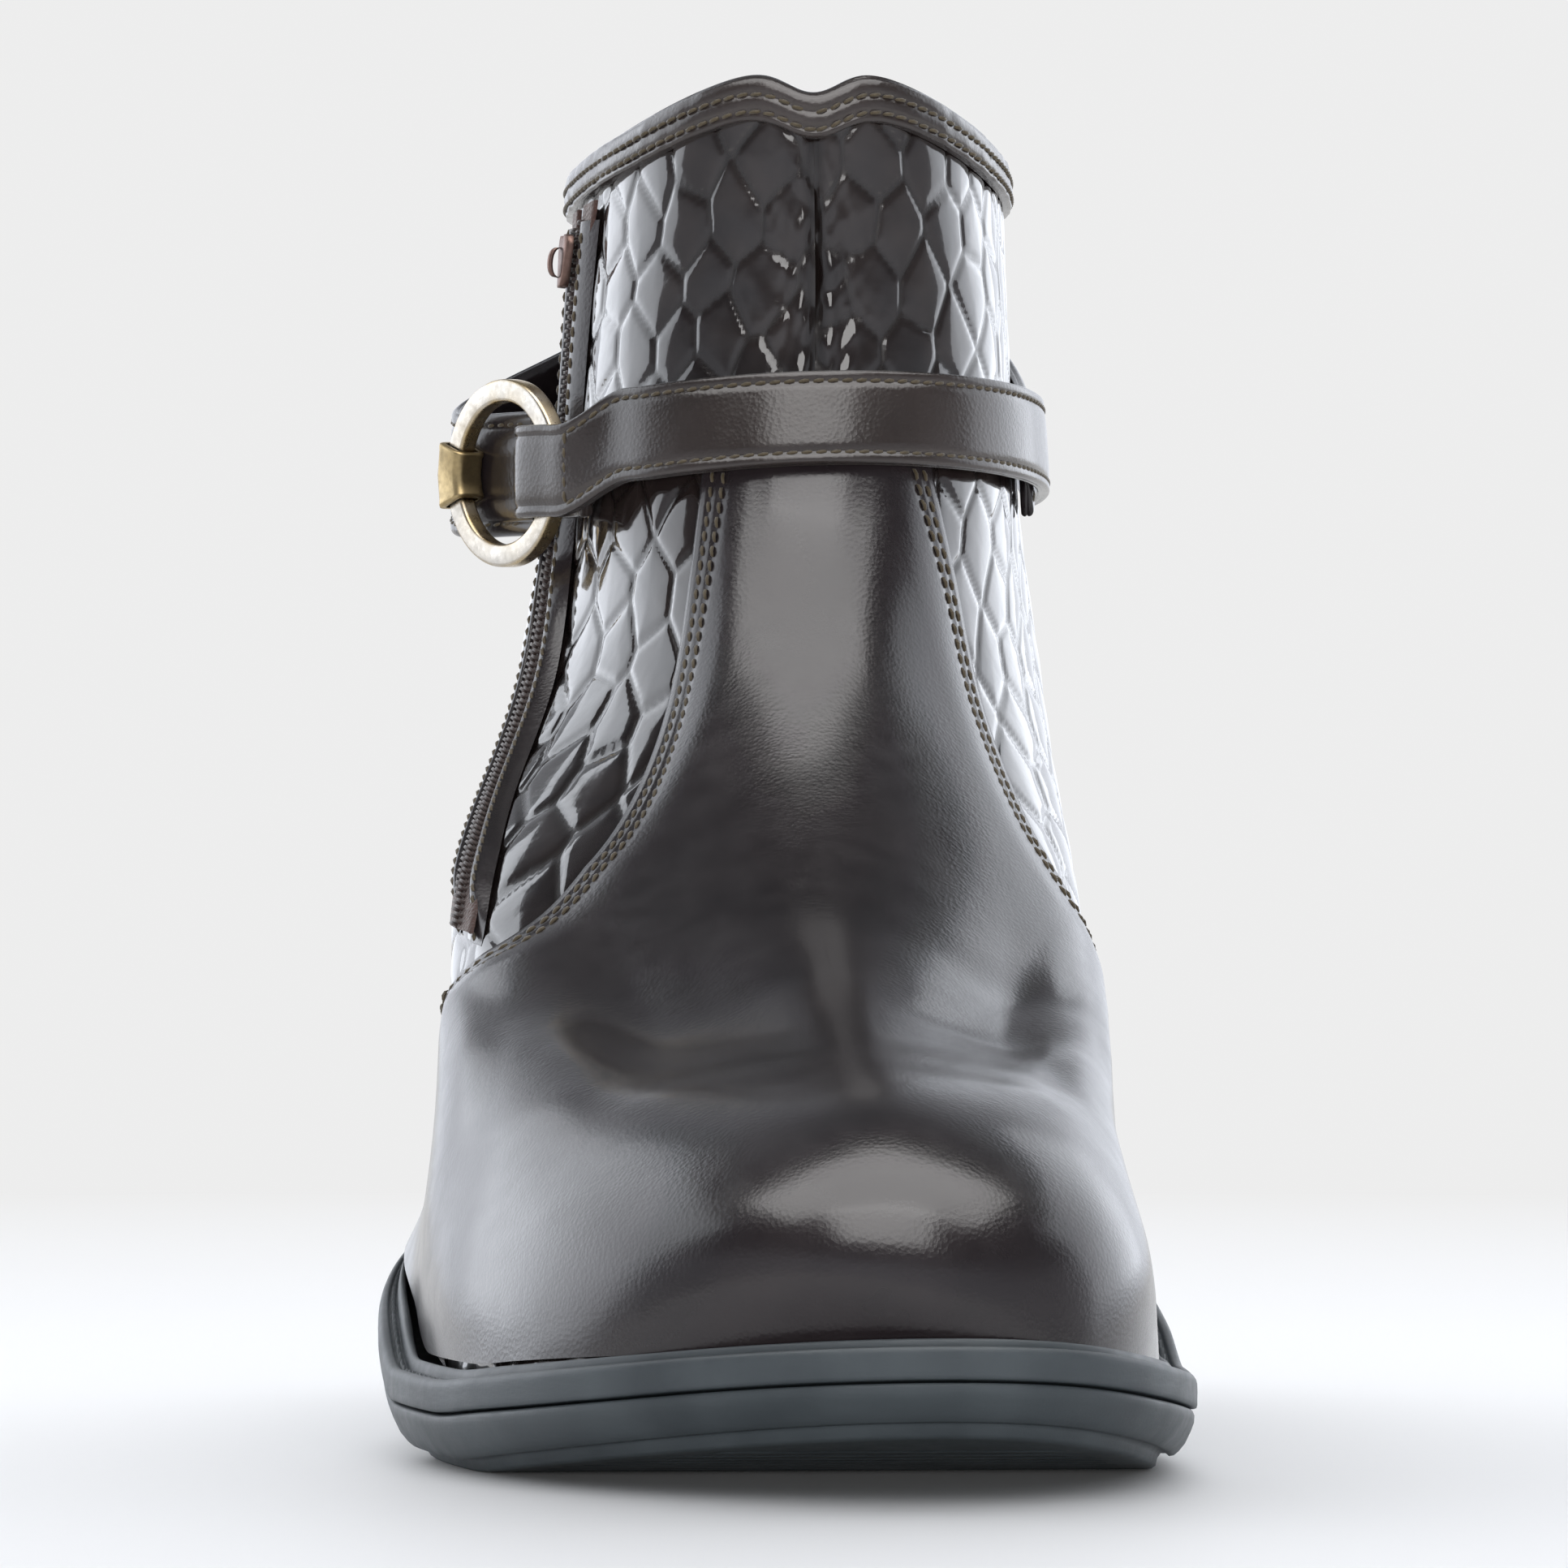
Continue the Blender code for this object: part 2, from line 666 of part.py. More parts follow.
def make_zip(tape_material, coil_material, slider_material, collection):
    tape = add_sheet(
        "zip_tape", zip_strip(ZIP_BOTTOM_LEVEL, ZIP_TOP_LEVEL, ZIP_ROWS, TAPE_WIDTH / 2, TAPE_GAP),
        False, TAPE_THICKNESS, True, tape_material, collection,
    )
    coil_out = TAPE_GAP + TAPE_THICKNESS + FIT_GAP
    coil = add_sheet(
        "zip_coil", zip_strip(ZIP_BOTTOM_LEVEL, COIL_TOP_LEVEL, ZIP_ROWS, COIL_WIDTH / 2, coil_out),
        False, COIL_THICKNESS, True, coil_material, collection,
    )
    ends = [upper_point(ZIP_LINE(level)[0], level) for level in (SLIDER_LEVEL - 0.5, SLIDER_LEVEL + 0.3)]
    half = SLIDER_LENGTH / 2 * 0.8 / np.linalg.norm(ends[1] - ends[0])
    slider = add_sheet(
        "zip_slider",
        zip_strip(SLIDER_LEVEL - half, SLIDER_LEVEL + half, SLIDER_ROWS, SLIDER_WIDTH / 2,
                  coil_out + COIL_THICKNESS + FIT_GAP),
        False, SLIDER_THICKNESS, True, slider_material, collection,
    )
    return tape, coil, slider


# Strap and ring

def strap_height(share):
    return ledge(OUTSOLE_LENGTH) + share * SHAFT_HEIGHT


def shaft_place(turn, height, out):
    """Point beside the shaft at a height, with its level outward direction."""
    level = level_at_height(turn, height)
    outward = plan_unit(upper_normal(turn, level))
    return upper_point(turn, level) + out * outward, outward


class RingPlace:
    """Where the ring stands: its middle, the way it runs back from the strap, and its face."""

    def __init__(self):
        height = strap_height(RING_HEIGHT)
        self.leave, self.face = shaft_place(STRAP_LEAVES_SHAFT, height, STRAP_STANDOFF)
        self.run = np.cross(np.array([0.0, 0.0, 1.0]), self.face) * -1.0
        self.sink = RING_THICKNESS / 2 + FIT_GAP
        self.middle = self.leave + self.run * RING_REACH + self.face * (RING_LIFT - self.sink)

    def at(self, back, out, height=None):
        """Point by its distance back along the run and out from the ring's own plane."""
        point = self.middle + self.run * back + self.face * out
        if height is not None:
            point[2] = height
        return point


def strap_rows(width, route):
    """Rows of a strap from its lower edge up, each worked out by the route for its own lift."""
    return [route(lift * width) for lift in (-0.5, 0.0, 0.5)]


def resample(rows, step):
    """The same even places along each row, on smooth curves through the rows' points."""
    middle = np.array(rows[len(rows) // 2])
    knots = np.concatenate([[0], np.cumsum(np.linalg.norm(np.diff(middle, axis=0), axis=1))])
    count = max(int(round(knots[-1] / step)), 2)
    places = np.linspace(0, knots[-1], count + 1)
    return [[path(at) for at in places] for path in (curve(knots, row) for row in rows)]


def make_front_strap(ring, material, collection):
    """Strap over the front of the shaft, folded round the ring's near limb.

    Its points lie on the face that looks at the shaft and the ring, and it grows out of them.
    """
    turns = [turn for turn, _ in FRONT_STRAP_ROUTE]
    shares = curve([-turn for turn in turns], [share / 100 for _, share in FRONT_STRAP_ROUTE])
    inner_radius = RING_OUTER_RADIUS - RING_BAND
    bend_middle = FIT_GAP - math.sqrt(inner_radius ** 2 - (FRONT_STRAP_WIDTH / 2) ** 2)
    limb_edge = -RING_OUTER_RADIUS - FIT_GAP
    gap = ring.sink

    def route(lift):
        points = []
        for turn in np.linspace(turns[0], STRAP_LEAVES_SHAFT, 26):
            height = strap_height(shares(-turn)[0]) + lift
            points.append(shaft_place(turn, height, STRAP_STANDOFF)[0])
        height = strap_height(RING_HEIGHT) + lift
        for back in (limb_edge - 0.5 * STRAP_FOLD_LENGTH, limb_edge, bend_middle):
            points.append(ring.at(back, gap, height))
        for angle in (60, 30, 0, -30, -60):
            bend = math.radians(angle)
            points.append(ring.at(bend_middle + gap * math.cos(bend), gap * math.sin(bend), height))
        for back in (bend_middle, limb_edge):
            points.append(ring.at(back, -gap, height))
        for share in (0.35, 0.7, 1.0):
            close = -gap + (2 * gap - FIT_GAP) * eased(0.0, 1.0, share)
            points.append(ring.at(limb_edge - STRAP_FOLD_LENGTH * share, close, height))
        return points[::-1]

    rows = strap_rows(FRONT_STRAP_WIDTH, route)
    return add_sheet("front_strap", rows, False, STRAP_THICKNESS, True, material, collection)


def make_rear_strap(ring, material, collection):
    """Strap from behind the ring round the back of the shaft, its end under the front strap."""
    behind = -(RING_THICKNESS / 2 + 2 * FIT_GAP + CLIP_THICKNESS + STRAP_THICKNESS)
    turns = [-turn for turn, _ in REAR_STRAP_ROUTE]
    shares = curve(turns, [share / 100 for _, share in REAR_STRAP_ROUTE])

    def route(lift):
        height = strap_height(RING_HEIGHT) + lift
        points = [
            ring.at(back * RING_OUTER_RADIUS, behind, height) for back in (-0.15, 0.45, 1.1)
        ]
        for turn in np.linspace(turns[0], turns[-1], 20):
            height = strap_height(shares(turn)[0]) + lift
            points.append(shaft_place(-turn, height, 1.5 * FIT_GAP)[0])
        return points[::-1]

    rows = resample(strap_rows(REAR_STRAP_WIDTH, route), STRAP_STEP)
    return add_sheet("rear_strap", rows, False, STRAP_THICKNESS, True, material, collection)


def turned_about_face(item, ring):
    """Stand a piece turned about Z so that its axis is the ring's face direction."""
    item.location = ring.middle
    item.rotation_euler = (math.pi / 2, 0.0, math.atan2(ring.face[1], ring.face[0]) + math.pi / 2)


def make_ring(ring, material, collection):
    """Flat ring: a soft-edged band turned round its axis."""
    soft = RING_EDGE_ROUND
    low = RING_OUTER_RADIUS - RING_BAND
    high = RING_OUTER_RADIUS
    half = RING_THICKNESS / 2
    section = (
        (low + soft, half), (high - soft, half), (high, half - soft), (high, -half + soft),
        (high - soft, -half), (low + soft, -half), (low, -half + soft), (low, half - soft),
    )
    mesh = bpy.data.meshes.new("ring")
    mesh.from_pydata(
        [(radius, 0.0, height) for radius, height in section],
        [(i, (i + 1) % len(section)) for i in range(len(section))], [],
    )
    mesh.materials.append(material)
    item = bpy.data.objects.new("ring", mesh)
    collection.objects.link(item)
    turned_about_face(item, ring)
    turning = item.modifiers.new("Turning", "SCREW")
    turning.steps = RING_STEPS
    turning.render_steps = RING_STEPS
    turning.use_merge_vertices = True
    turning.merge_threshold = MERGE_DISTANCE
    turning.use_smooth_shade = True
    return item


def make_clip(ring, material, collection):
    """Metal wrap round the ring's far limb, a sleeve that follows the limb."""
    low = RING_OUTER_RADIUS - RING_BAND - FIT_GAP
    high = RING_OUTER_RADIUS + FIT_GAP
    half = RING_THICKNESS / 2 + FIT_GAP
    section = ((low, half), (high, half), (high, -half), (low, -half))
    middle_radius = RING_OUTER_RADIUS - RING_BAND / 2
    half_angle = math.asin(CLIP_HEIGHT / 2 / middle_radius)
    points = []
    steps = 6
    for step in range(steps + 1):
        angle = -half_angle + 2 * half_angle * step / steps
        for radius, out in section:
            point = ring.middle + ring.run * radius * math.cos(angle) + ring.face * out
            point[2] = ring.middle[2] + radius * math.sin(angle)
            points.append(point)
    faces = []
    sides = len(section)
    for step in range(steps):
        for side in range(sides):
            left = step * sides + side
            right = step * sides + (side + 1) % sides
            faces.append((left, left + sides, right + sides, right))
    item = add_object("ring_clip", points, faces, material, collection)
    solid = item.modifiers.new("Thickness", "SOLIDIFY")
    solid.thickness = CLIP_THICKNESS
    solid.offset = 1.0
    solid.use_even_offset = True
    return item


def main():
    clear_scene()
    boot = make_collection("ankle_boot")
    rubber = make_material("sole_rubber", (0.115, 0.135, 0.150), 0.6)
    heel_rubber = make_material("heel_rubber", (0.06, 0.065, 0.07), 0.6)
    insole_leather = make_material("insole_leather", (0.20, 0.13, 0.08), 0.7)
    patent = make_material("embossed_patent_leather", (0.030, 0.018, 0.013), 0.12)
    calf = make_material("smooth_calf_leather", (0.035, 0.021, 0.016), 0.3)
    trim = make_material("trim_leather", (0.060, 0.036, 0.025), 0.5)
    tape = make_material("zip_tape", (0.085, 0.050, 0.035), 0.8)
    nickel = make_material("nickel", (0.60, 0.58, 0.55), 0.2, 1.0)
    brass = make_material("brass", (0.65, 0.48, 0.25), 0.3, 1.0)

    make_outsole(rubber, boot)
    make_welt(rubber, boot)
    make_insole(insole_leather, boot)
    make_heel(heel_rubber, rubber, boot)
    make_upper(patent, boot)
    make_vamp(calf, boot)
    make_binding(trim, boot)
    make_zip(tape, tape, brass, boot)
    ring = RingPlace()
    make_front_strap(ring, trim, boot)
    make_rear_strap(ring, calf, boot)
    make_ring(ring, nickel, boot)
    make_clip(ring, brass, boot)


main()
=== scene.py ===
"""Looks of the leather ankle boot: leathers, seams, sole, zip, straps and ring, with studio and camera.

The forms come from the same named sizes, tables and curves as the solids, drawn more finely. Turns are
degrees round the boot, 0 at the toe and +90 on the inner side. Levels run from 0 at the feather line
to 7 at the collar.
"""
import math

import bpy
import numpy as np
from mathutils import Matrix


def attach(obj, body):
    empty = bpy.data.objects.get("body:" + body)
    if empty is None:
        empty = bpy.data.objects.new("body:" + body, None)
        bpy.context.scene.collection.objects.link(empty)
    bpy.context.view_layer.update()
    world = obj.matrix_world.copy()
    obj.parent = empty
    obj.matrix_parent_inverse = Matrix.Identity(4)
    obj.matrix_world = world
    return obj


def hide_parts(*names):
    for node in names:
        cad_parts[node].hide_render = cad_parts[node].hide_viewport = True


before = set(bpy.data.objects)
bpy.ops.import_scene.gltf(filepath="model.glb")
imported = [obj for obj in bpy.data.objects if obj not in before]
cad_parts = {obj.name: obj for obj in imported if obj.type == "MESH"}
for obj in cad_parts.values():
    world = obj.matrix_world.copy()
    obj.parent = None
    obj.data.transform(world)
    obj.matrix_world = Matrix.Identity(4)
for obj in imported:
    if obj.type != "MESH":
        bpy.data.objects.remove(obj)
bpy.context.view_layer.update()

# Sizes of the solids, in metres
OUTSOLE_LENGTH = 0.272
BALL_WIDTH = 0.098
SHAFT_HEIGHT = 0.132
HEEL_HEIGHT = 0.0246
TOE_SPRING = 0.0078
OUTSOLE_THICKNESS = 0.0053
TREAD_HEIGHT = 0.0015
WELT_THICKNESS = 0.0039
HEEL_TIP_THICKNESS = 0.0062
LEDGE_WIDTH = 0.0042
HEEL_LEDGE_WIDTH = 0.0020
GROOVE_DEPTH = 0.0009
SEAT_DEPTH = 0.0009
EDGE_ROUND = 0.0006
SOLE_TAPER = 0.0024
UPPER_WALL = 0.0022
VAMP_THICKNESS = 0.0010
VAMP_GAP = 0.0009
FIT_GAP = 0.0003
COLLAR_NOTCH = 0.0036
NOTCH_SPREAD = 9.0
BINDING_HEIGHT = 0.0047
BINDING_THICKNESS = 0.0008
TAPE_WIDTH = 0.0110
TAPE_GAP = 0.0007
TAPE_THICKNESS = 0.0005
COIL_THICKNESS = 0.0008
SLIDER_LENGTH = 0.0070
SLIDER_WIDTH = 0.0062
SLIDER_THICKNESS = 0.0026
FRONT_STRAP_WIDTH = 0.0122
REAR_STRAP_WIDTH = 0.0165
STRAP_THICKNESS = 0.0017
STRAP_STANDOFF = 0.0026
STRAP_FOLD_LENGTH = 0.0050
RING_OUTER_RADIUS = 0.0125
RING_BAND = 0.0030
RING_THICKNESS = 0.0025
RING_REACH = 0.0262
RING_LIFT = 0.0018
CLIP_HEIGHT = 0.0074
CLIP_THICKNESS = 0.0009
HEEL_INSET = 0.0016
HEEL_TAPER = 0.0030
WAIST_START = 0.34
WAIST_END = 0.50
HEEL_BREAST = 0.705

OUTLINE_TURNS = (0, 30, 60, 90, 120, 150, 180)
OUTLINE_INNER = (12.2, 38.6, 46.8, 45.4, 41.1, 36.7, 9.2)
OUTLINE_OUTER = (12.2, -26.6, -46.6, -44.0, -26.5, -18.4, 9.2)

# Place along, toe lift, heel lift and thickness
SOLE_STATIONS = np.array((
    (0.000, 1.00, 0.00, 0.80),
    (0.070, 0.52, 0.00, 0.88),
    (0.140, 0.18, 0.00, 0.96),
    (0.195, 0.00, 0.00, 1.00),
    (0.275, 0.00, 0.00, 1.00),
    (0.345, 0.00, 0.19, 1.00),
    (0.500, 0.00, 0.50, 1.00),
    (0.620, 0.00, 0.71, 1.00),
    (0.740, 0.00, 0.94, 1.00),
    (0.820, 0.00, 1.00, 1.00),
    (1.000, 0.00, 1.00, 1.00),
))

# Front, back, four rises, then widths: inner at 30 to 150, outer at 30 to 150, middle at 0 and 180
SECTIONS = (
    (1.9, 99.5, 7.6, 12.1, 9.1, 12.1,
     34.8, 40.6, 38.8, 38.2, 34.0, -20.6, -40.2, -37.8, -23.4, -16.4, 7.7, 9.2),
    (4.8, 99.4, 16.6, 21.4, 18.6, 24.2,
     28.8, 39.6, 40.6, 37.4, 31.8, -14.0, -36.6, -37.0, -22.2, -14.6, 7.1, 9.0),
    (18.6, 99.0, 28.6, 27.2, 26.3, 34.8,
     20.2, 39.6, 43.6, 38.8, 30.1, -5.9, -33.8, -37.0, -22.6, -12.2, 7.1, 9.0),
    (37.5, 97.8, 38.9, 37.6, 38.0, 46.2,
     23.4, 40.4, 43.6, 37.4, 28.6, -10.6, -34.0, -31.6, -20.9, -10.7, 6.4, 9.0),
    (49.4, 96.7, 53.8, 51.9, 52.0, 59.1,
     21.0, 36.6, 43.0, 37.8, 26.0, -6.7, -20.9, -27.0, -20.9, -8.7, 7.1, 8.7),
    (57.2, 96.1, 73.9, 70.8, 70.2, 72.7,
     26.8, 37.6, 40.6, 37.0, 25.8, -7.9, -18.6, -21.6, -18.1, -6.8, 9.5, 9.5),
    (61.0, 97.1, 111.6, 101.8, 98.0, 100.0,
     26.2, 36.2, 39.6, 36.2, 26.2, -5.8, -15.8, -19.2, -15.8, -5.8, 10.2, 10.2),
)
TOP_LEVEL = len(SECTIONS)
SHAFT_FROM_LEVEL = 2.0

# Level, turns of the vamp's inner and outer edge, and turn of the zip's middle
PANELS = np.array((
    (0.0, 94, -94, -100),
    (1.0, 91, -90, -92),
    (2.0, 86, -84, -86),
    (2.5, 82, -79, -81),
    (3.0, 77, -72, -73),
    (3.5, 66, -56, -65),
    (4.0, 54, -43, -63),
    (4.5, 50, -38, -69),
    (5.0, 47, -35, -74),
    (5.5, 39, -29, -76),
    (6.0, 26, -23, -74),
    (7.0, 24, -20, -69),
), dtype=float)
VAMP_BOTTOM_LEVEL = 0.09
VAMP_TOP_LEVEL = 6.15
ZIP_BOTTOM_LEVEL = 3.5
ZIP_TOP_LEVEL = 6.86
SLIDER_LEVEL = 6.68
FRONT_STRAP_ROUTE = ((100, 69.5), (60, 71.0), (0, 72.0), (-30, 71.0))
STRAP_LEAVES_SHAFT = -40
RING_HEIGHT = 0.675
REAR_STRAP_ROUTE = (
    (-126, 76.5), (-150, 79.5), (-178, 80.5), (-210, 80.0), (-242, 77.5), (-272, 72.0), (-288, 69.5),
)


# Curves

def natural_slopes(knots, points):
    """Slopes of natural cubics through points, for one curve or for a stack of them."""
    steps = np.diff(knots, axis=-1)
    chords = np.diff(points, axis=-2) / steps[..., None]
    count = knots.shape[-1]
    matrix = np.zeros(knots.shape + (count,))
    right = np.zeros_like(points)
    matrix[..., 0, 0] = 2
    matrix[..., 0, 1] = 1
    matrix[..., -1, -2] = 1
    matrix[..., -1, -1] = 2
    right[..., 0, :] = 3 * chords[..., 0, :]
    right[..., -1, :] = 3 * chords[..., -1, :]
    inner = np.arange(1, count - 1)
    before = steps[..., :-1]
    after = steps[..., 1:]
    matrix[..., inner, inner - 1] = after
    matrix[..., inner, inner] = 2 * (before + after)
    matrix[..., inner, inner + 1] = before
    pull = after[..., None] * chords[..., :-1, :] + before[..., None] * chords[..., 1:, :]
    right[..., 1:-1, :] = 3 * pull
    return np.linalg.solve(matrix, right)


def hermite(share, step, start, start_slope, end, end_slope):
    """Cubic between two points with given slopes, at a share of the step between them."""
    left = (1 - share) ** 2
    return (
        (1 + 2 * share) * left * start + share * left * step * start_slope
        + share ** 2 * (3 - 2 * share) * end + share ** 2 * (share - 1) * step * end_slope
    )


def reader(knots, points, slopes):
    """Function that reads a curve at any places."""
    def read(places):
        places = np.asarray(places, dtype=float)
        i = np.clip(np.searchsorted(knots, places) - 1, 0, len(knots) - 2)
        step = (knots[i + 1] - knots[i])[..., None]
        share = (places - knots[i])[..., None] / step
        found = hermite(share, step, points[i], slopes[i], points[i + 1], slopes[i + 1])
        return found[..., 0] if found.shape[-1] == 1 else found
    return read


def curve(knots, points):
    """Natural cubic through points, read at any places."""
    knots = np.asarray(knots, dtype=float)
    points = np.asarray(points, dtype=float).reshape(len(knots), -1)
    return reader(knots, points, natural_slopes(knots, points))


def closed_curve(turns, values):
    """Smooth curve once round the boot, which meets itself."""
    turns = np.asarray(turns, dtype=float)
    values = np.tile(np.asarray(values, dtype=float), 3)
    return curve(np.concatenate([turns - 360, turns, turns + 360]), values)


def level_curve(knots, values):
    """Curve that never overshoots."""
    knots = np.asarray(knots, dtype=float)
    values = np.asarray(values, dtype=float)
    chords = np.diff(values) / np.diff(knots)
    slopes = np.zeros(len(knots))
    for i in range(1, len(knots) - 1):
        if chords[i - 1] * chords[i] > 0:
            slopes[i] = 2 * chords[i - 1] * chords[i] / (chords[i - 1] + chords[i])
    slopes[0] = chords[0]
    return reader(knots, values[:, None], slopes[:, None])


def eased(low, high, value):
    """Smooth step from 0 at low to 1 at high."""
    share = np.clip((np.asarray(value, dtype=float) - low) / (high - low), 0.0, 1.0)
    return share * share * (3 - 2 * share)


def bell(distance, width):
    """Soft hump of height 1 about a distance of 0."""
    return np.exp(-(np.asarray(distance) / width) ** 2)


def unit(vectors):
    return vectors / np.maximum(np.linalg.norm(vectors, axis=-1, keepdims=True), 1e-12)


def lengths_along(points, axis=0):
    """Distance from the first point, along one axis of a grid of points."""
    runs = np.linalg.norm(np.diff(points, axis=axis), axis=-1)
    start = np.zeros_like(np.take(runs, [0], axis=axis))
    return np.concatenate([start, np.cumsum(runs, axis=axis)], axis=axis)


def at_lengths(spots, knots, values):
    """Rows of values read at distances along them."""
    return np.stack([np.interp(spots, knots, values[:, k]) for k in range(3)], axis=-1)


# Sole forms

OUTLINE_KNOTS = list(OUTLINE_TURNS) + [360 - turn for turn in OUTLINE_TURNS[-2:0:-1]]
OUTLINE_EDGE = closed_curve(OUTLINE_KNOTS, list(OUTLINE_INNER) + list(OUTLINE_OUTER[-2:0:-1]))
EDGE_SAMPLES = OUTLINE_EDGE(np.arange(0, 360, 0.5))
EDGE_MIDDLE = (EDGE_SAMPLES.max() + EDGE_SAMPLES.min()) / 2
EDGE_SCALE = BALL_WIDTH / (EDGE_SAMPLES.max() - EDGE_SAMPLES.min())
TOE_LIFT = level_curve(SOLE_STATIONS[:, 0], SOLE_STATIONS[:, 1])
HEEL_LIFT = level_curve(SOLE_STATIONS[:, 0], SOLE_STATIONS[:, 2])
SOLE_BODY = level_curve(SOLE_STATIONS[:, 0], SOLE_STATIONS[:, 3])


def outline(turns):
    """Edge of the outsole as x and place along."""
    turns = np.asarray(turns, dtype=float)
    along = OUTSOLE_LENGTH / 2 * (1 - np.cos(np.radians(turns)))
    across = (OUTLINE_EDGE(turns % 360) - EDGE_MIDDLE) * EDGE_SCALE
    return np.stack([across, along], axis=-1)


def inset_outline(turns, inset):
    """Edge of the outsole moved inwards by a distance."""
    run = unit(outline(turns + 1) - outline(turns - 1))
    return outline(turns) + np.asarray(inset)[..., None] * np.stack([-run[..., 1], run[..., 0]], axis=-1)


def share_along(along):
    return np.clip(np.asarray(along) / OUTSOLE_LENGTH, 0.0, 1.0)


def underside(along):
    """Height of the outsole's underside, with its toe spring and its rise to the heel."""
    share = share_along(along)
    return TREAD_HEIGHT + TOE_SPRING * TOE_LIFT(share) + (HEEL_HEIGHT - TREAD_HEIGHT) * HEEL_LIFT(share)


def outsole_top(along):
    return underside(along) + OUTSOLE_THICKNESS * SOLE_BODY(share_along(along))


def welt_bottom(along):
    return outsole_top(along) + FIT_GAP


def ledge(along):
    """Height of the welt's upper face, on which the upper stands."""
    return welt_bottom(along) + WELT_THICKNESS


def ledge_width(along):
    return LEDGE_WIDTH + (HEEL_LEDGE_WIDTH - LEDGE_WIDTH) * eased(WAIST_START, WAIST_END, share_along(along))


def feather_inset(along):
    """How far in from the outsole's edge the upper's lower edge runs."""
    front = 1 - eased(WAIST_START, WAIST_END, share_along(along))
    return ledge_width(along) + FIT_GAP + (VAMP_THICKNESS + VAMP_GAP) * front


def place(across, along, up):
    """Points in the part's frame, whose origin is halfway along the boot."""
    return np.stack([across, along - OUTSOLE_LENGTH / 2, np.broadcast_to(up, np.shape(across))], axis=-1)


# Upper forms

def section_curves(row):
    """Widths and rises round one section, and its front and back ends."""
    front, back = row[0:2]
    rises = np.array([row[2], row[3], row[4], row[5], row[4], row[3]])
    across = np.array([row[16], *row[6:11], row[17], *row[15:10:-1]])
    return (
        closed_curve(range(0, 360, 30), across / 100 * BALL_WIDTH),
        closed_curve((0, 60, 90, 180, 270, 300), rises / 100 * SHAFT_HEIGHT),
        front / 100 * OUTSOLE_LENGTH,
        back / 100 * OUTSOLE_LENGTH,
    )


SECTION_FORMS = [section_curves(row) for row in SECTIONS]
VAMP_INNER = curve(PANELS[:, 0], PANELS[:, 1])
VAMP_OUTER = curve(PANELS[:, 0], PANELS[:, 2])
ZIP_LINE = curve(PANELS[:, 0], PANELS[:, 3])


def section_point(form, turns):
    """Points round one section, at their rise over the welt."""
    across, rise, front, back = form
    along = (front + back) / 2 - (back - front) / 2 * np.cos(np.radians(turns))
    return place(across(turns % 360), along, ledge(along) + rise(turns % 360))


def feather_point(turns):
    """Points round the upper's lower edge."""
    edge = inset_outline(turns, feather_inset(outline(turns)[..., 1]))
    return place(edge[..., 0], edge[..., 1], ledge(edge[..., 1]) + FIT_GAP)


def upper_point(turns, levels):
    """Outer face of the upper at arrays of turns and levels."""
    turns, levels = np.broadcast_arrays(np.asarray(turns, dtype=float), np.asarray(levels, dtype=float))
    shape = turns.shape
    own, back = np.unique(np.round(turns.ravel() % 360, 4), return_inverse=True)
    points = np.stack([feather_point(own)] + [section_point(form, own) for form in SECTION_FORMS], axis=1)
    from_front = (own + 180) % 360 - 180
    points[:, -1, 2] -= COLLAR_NOTCH * bell(from_front, NOTCH_SPREAD)
    knots = lengths_along(points, axis=1)
    slopes = natural_slopes(knots, points)
    levels = levels.ravel()
    step = np.clip(levels.astype(int), 0, TOP_LEVEL - 1)
    run = (knots[back, step + 1] - knots[back, step])[:, None]
    found = hermite(
        (levels - step)[:, None], run, points[back, step], slopes[back, step],
        points[back, step + 1], slopes[back, step + 1],
    )
    return found.reshape(shape + (3,))


def upper_normal(turns, levels):
    """Outward direction of the upper's face."""
    turns, levels = np.broadcast_arrays(np.asarray(turns, dtype=float), np.asarray(levels, dtype=float))
    low = np.maximum(levels - 0.03, 0.0)
    high = np.minimum(levels + 0.03, float(TOP_LEVEL))
    round_run = upper_point(turns + 0.6, levels) - upper_point(turns - 0.6, levels)
    up_run = upper_point(turns, high) - upper_point(turns, low)
    return unit(np.cross(round_run, up_run))


def upper_skin(turns, levels, out):
    """Points a distance out from the upper's face."""
    return upper_point(turns, levels) + np.asarray(out)[..., None] * upper_normal(turns, levels)


def plan_unit(vectors):
    """Level directions of length 1."""
    return unit(vectors * np.array([1.0, 1.0, 0.0]))


def level_at_height(turns, heights):
    """Level of the shaft at a height, found by halving."""
    turns, heights = np.broadcast_arrays(np.asarray(turns, dtype=float), np.asarray(heights, dtype=float))
    low = np.full(turns.shape, SHAFT_FROM_LEVEL)
    high = np.full(turns.shape, float(TOP_LEVEL))
    for _ in range(24):
        middle = (low + high) / 2
        below = upper_point(turns, middle)[..., 2] < heights
        low = np.where(below, middle, low)
        high = np.where(below, high, middle)
    return (low + high) / 2


# Mesh helpers

def link(item):
    bpy.context.scene.collection.objects.link(item)
    return item


def add_mesh(name, points, faces, material, **fields):
    """Smooth mesh with a value at each point for each named field."""
    mesh = bpy.data.meshes.new(name)
    mesh.from_pydata(np.asarray(points).reshape(-1, 3).tolist(), [], faces)
    for label, values in fields.items():
        attribute = mesh.attributes.new(label, "FLOAT", "POINT")
        attribute.data.foreach_set("value", np.ascontiguousarray(values, dtype=np.float32).ravel())
    mesh.materials.append(material)
    mesh.shade_smooth()
    return link(bpy.data.objects.new(name, mesh))


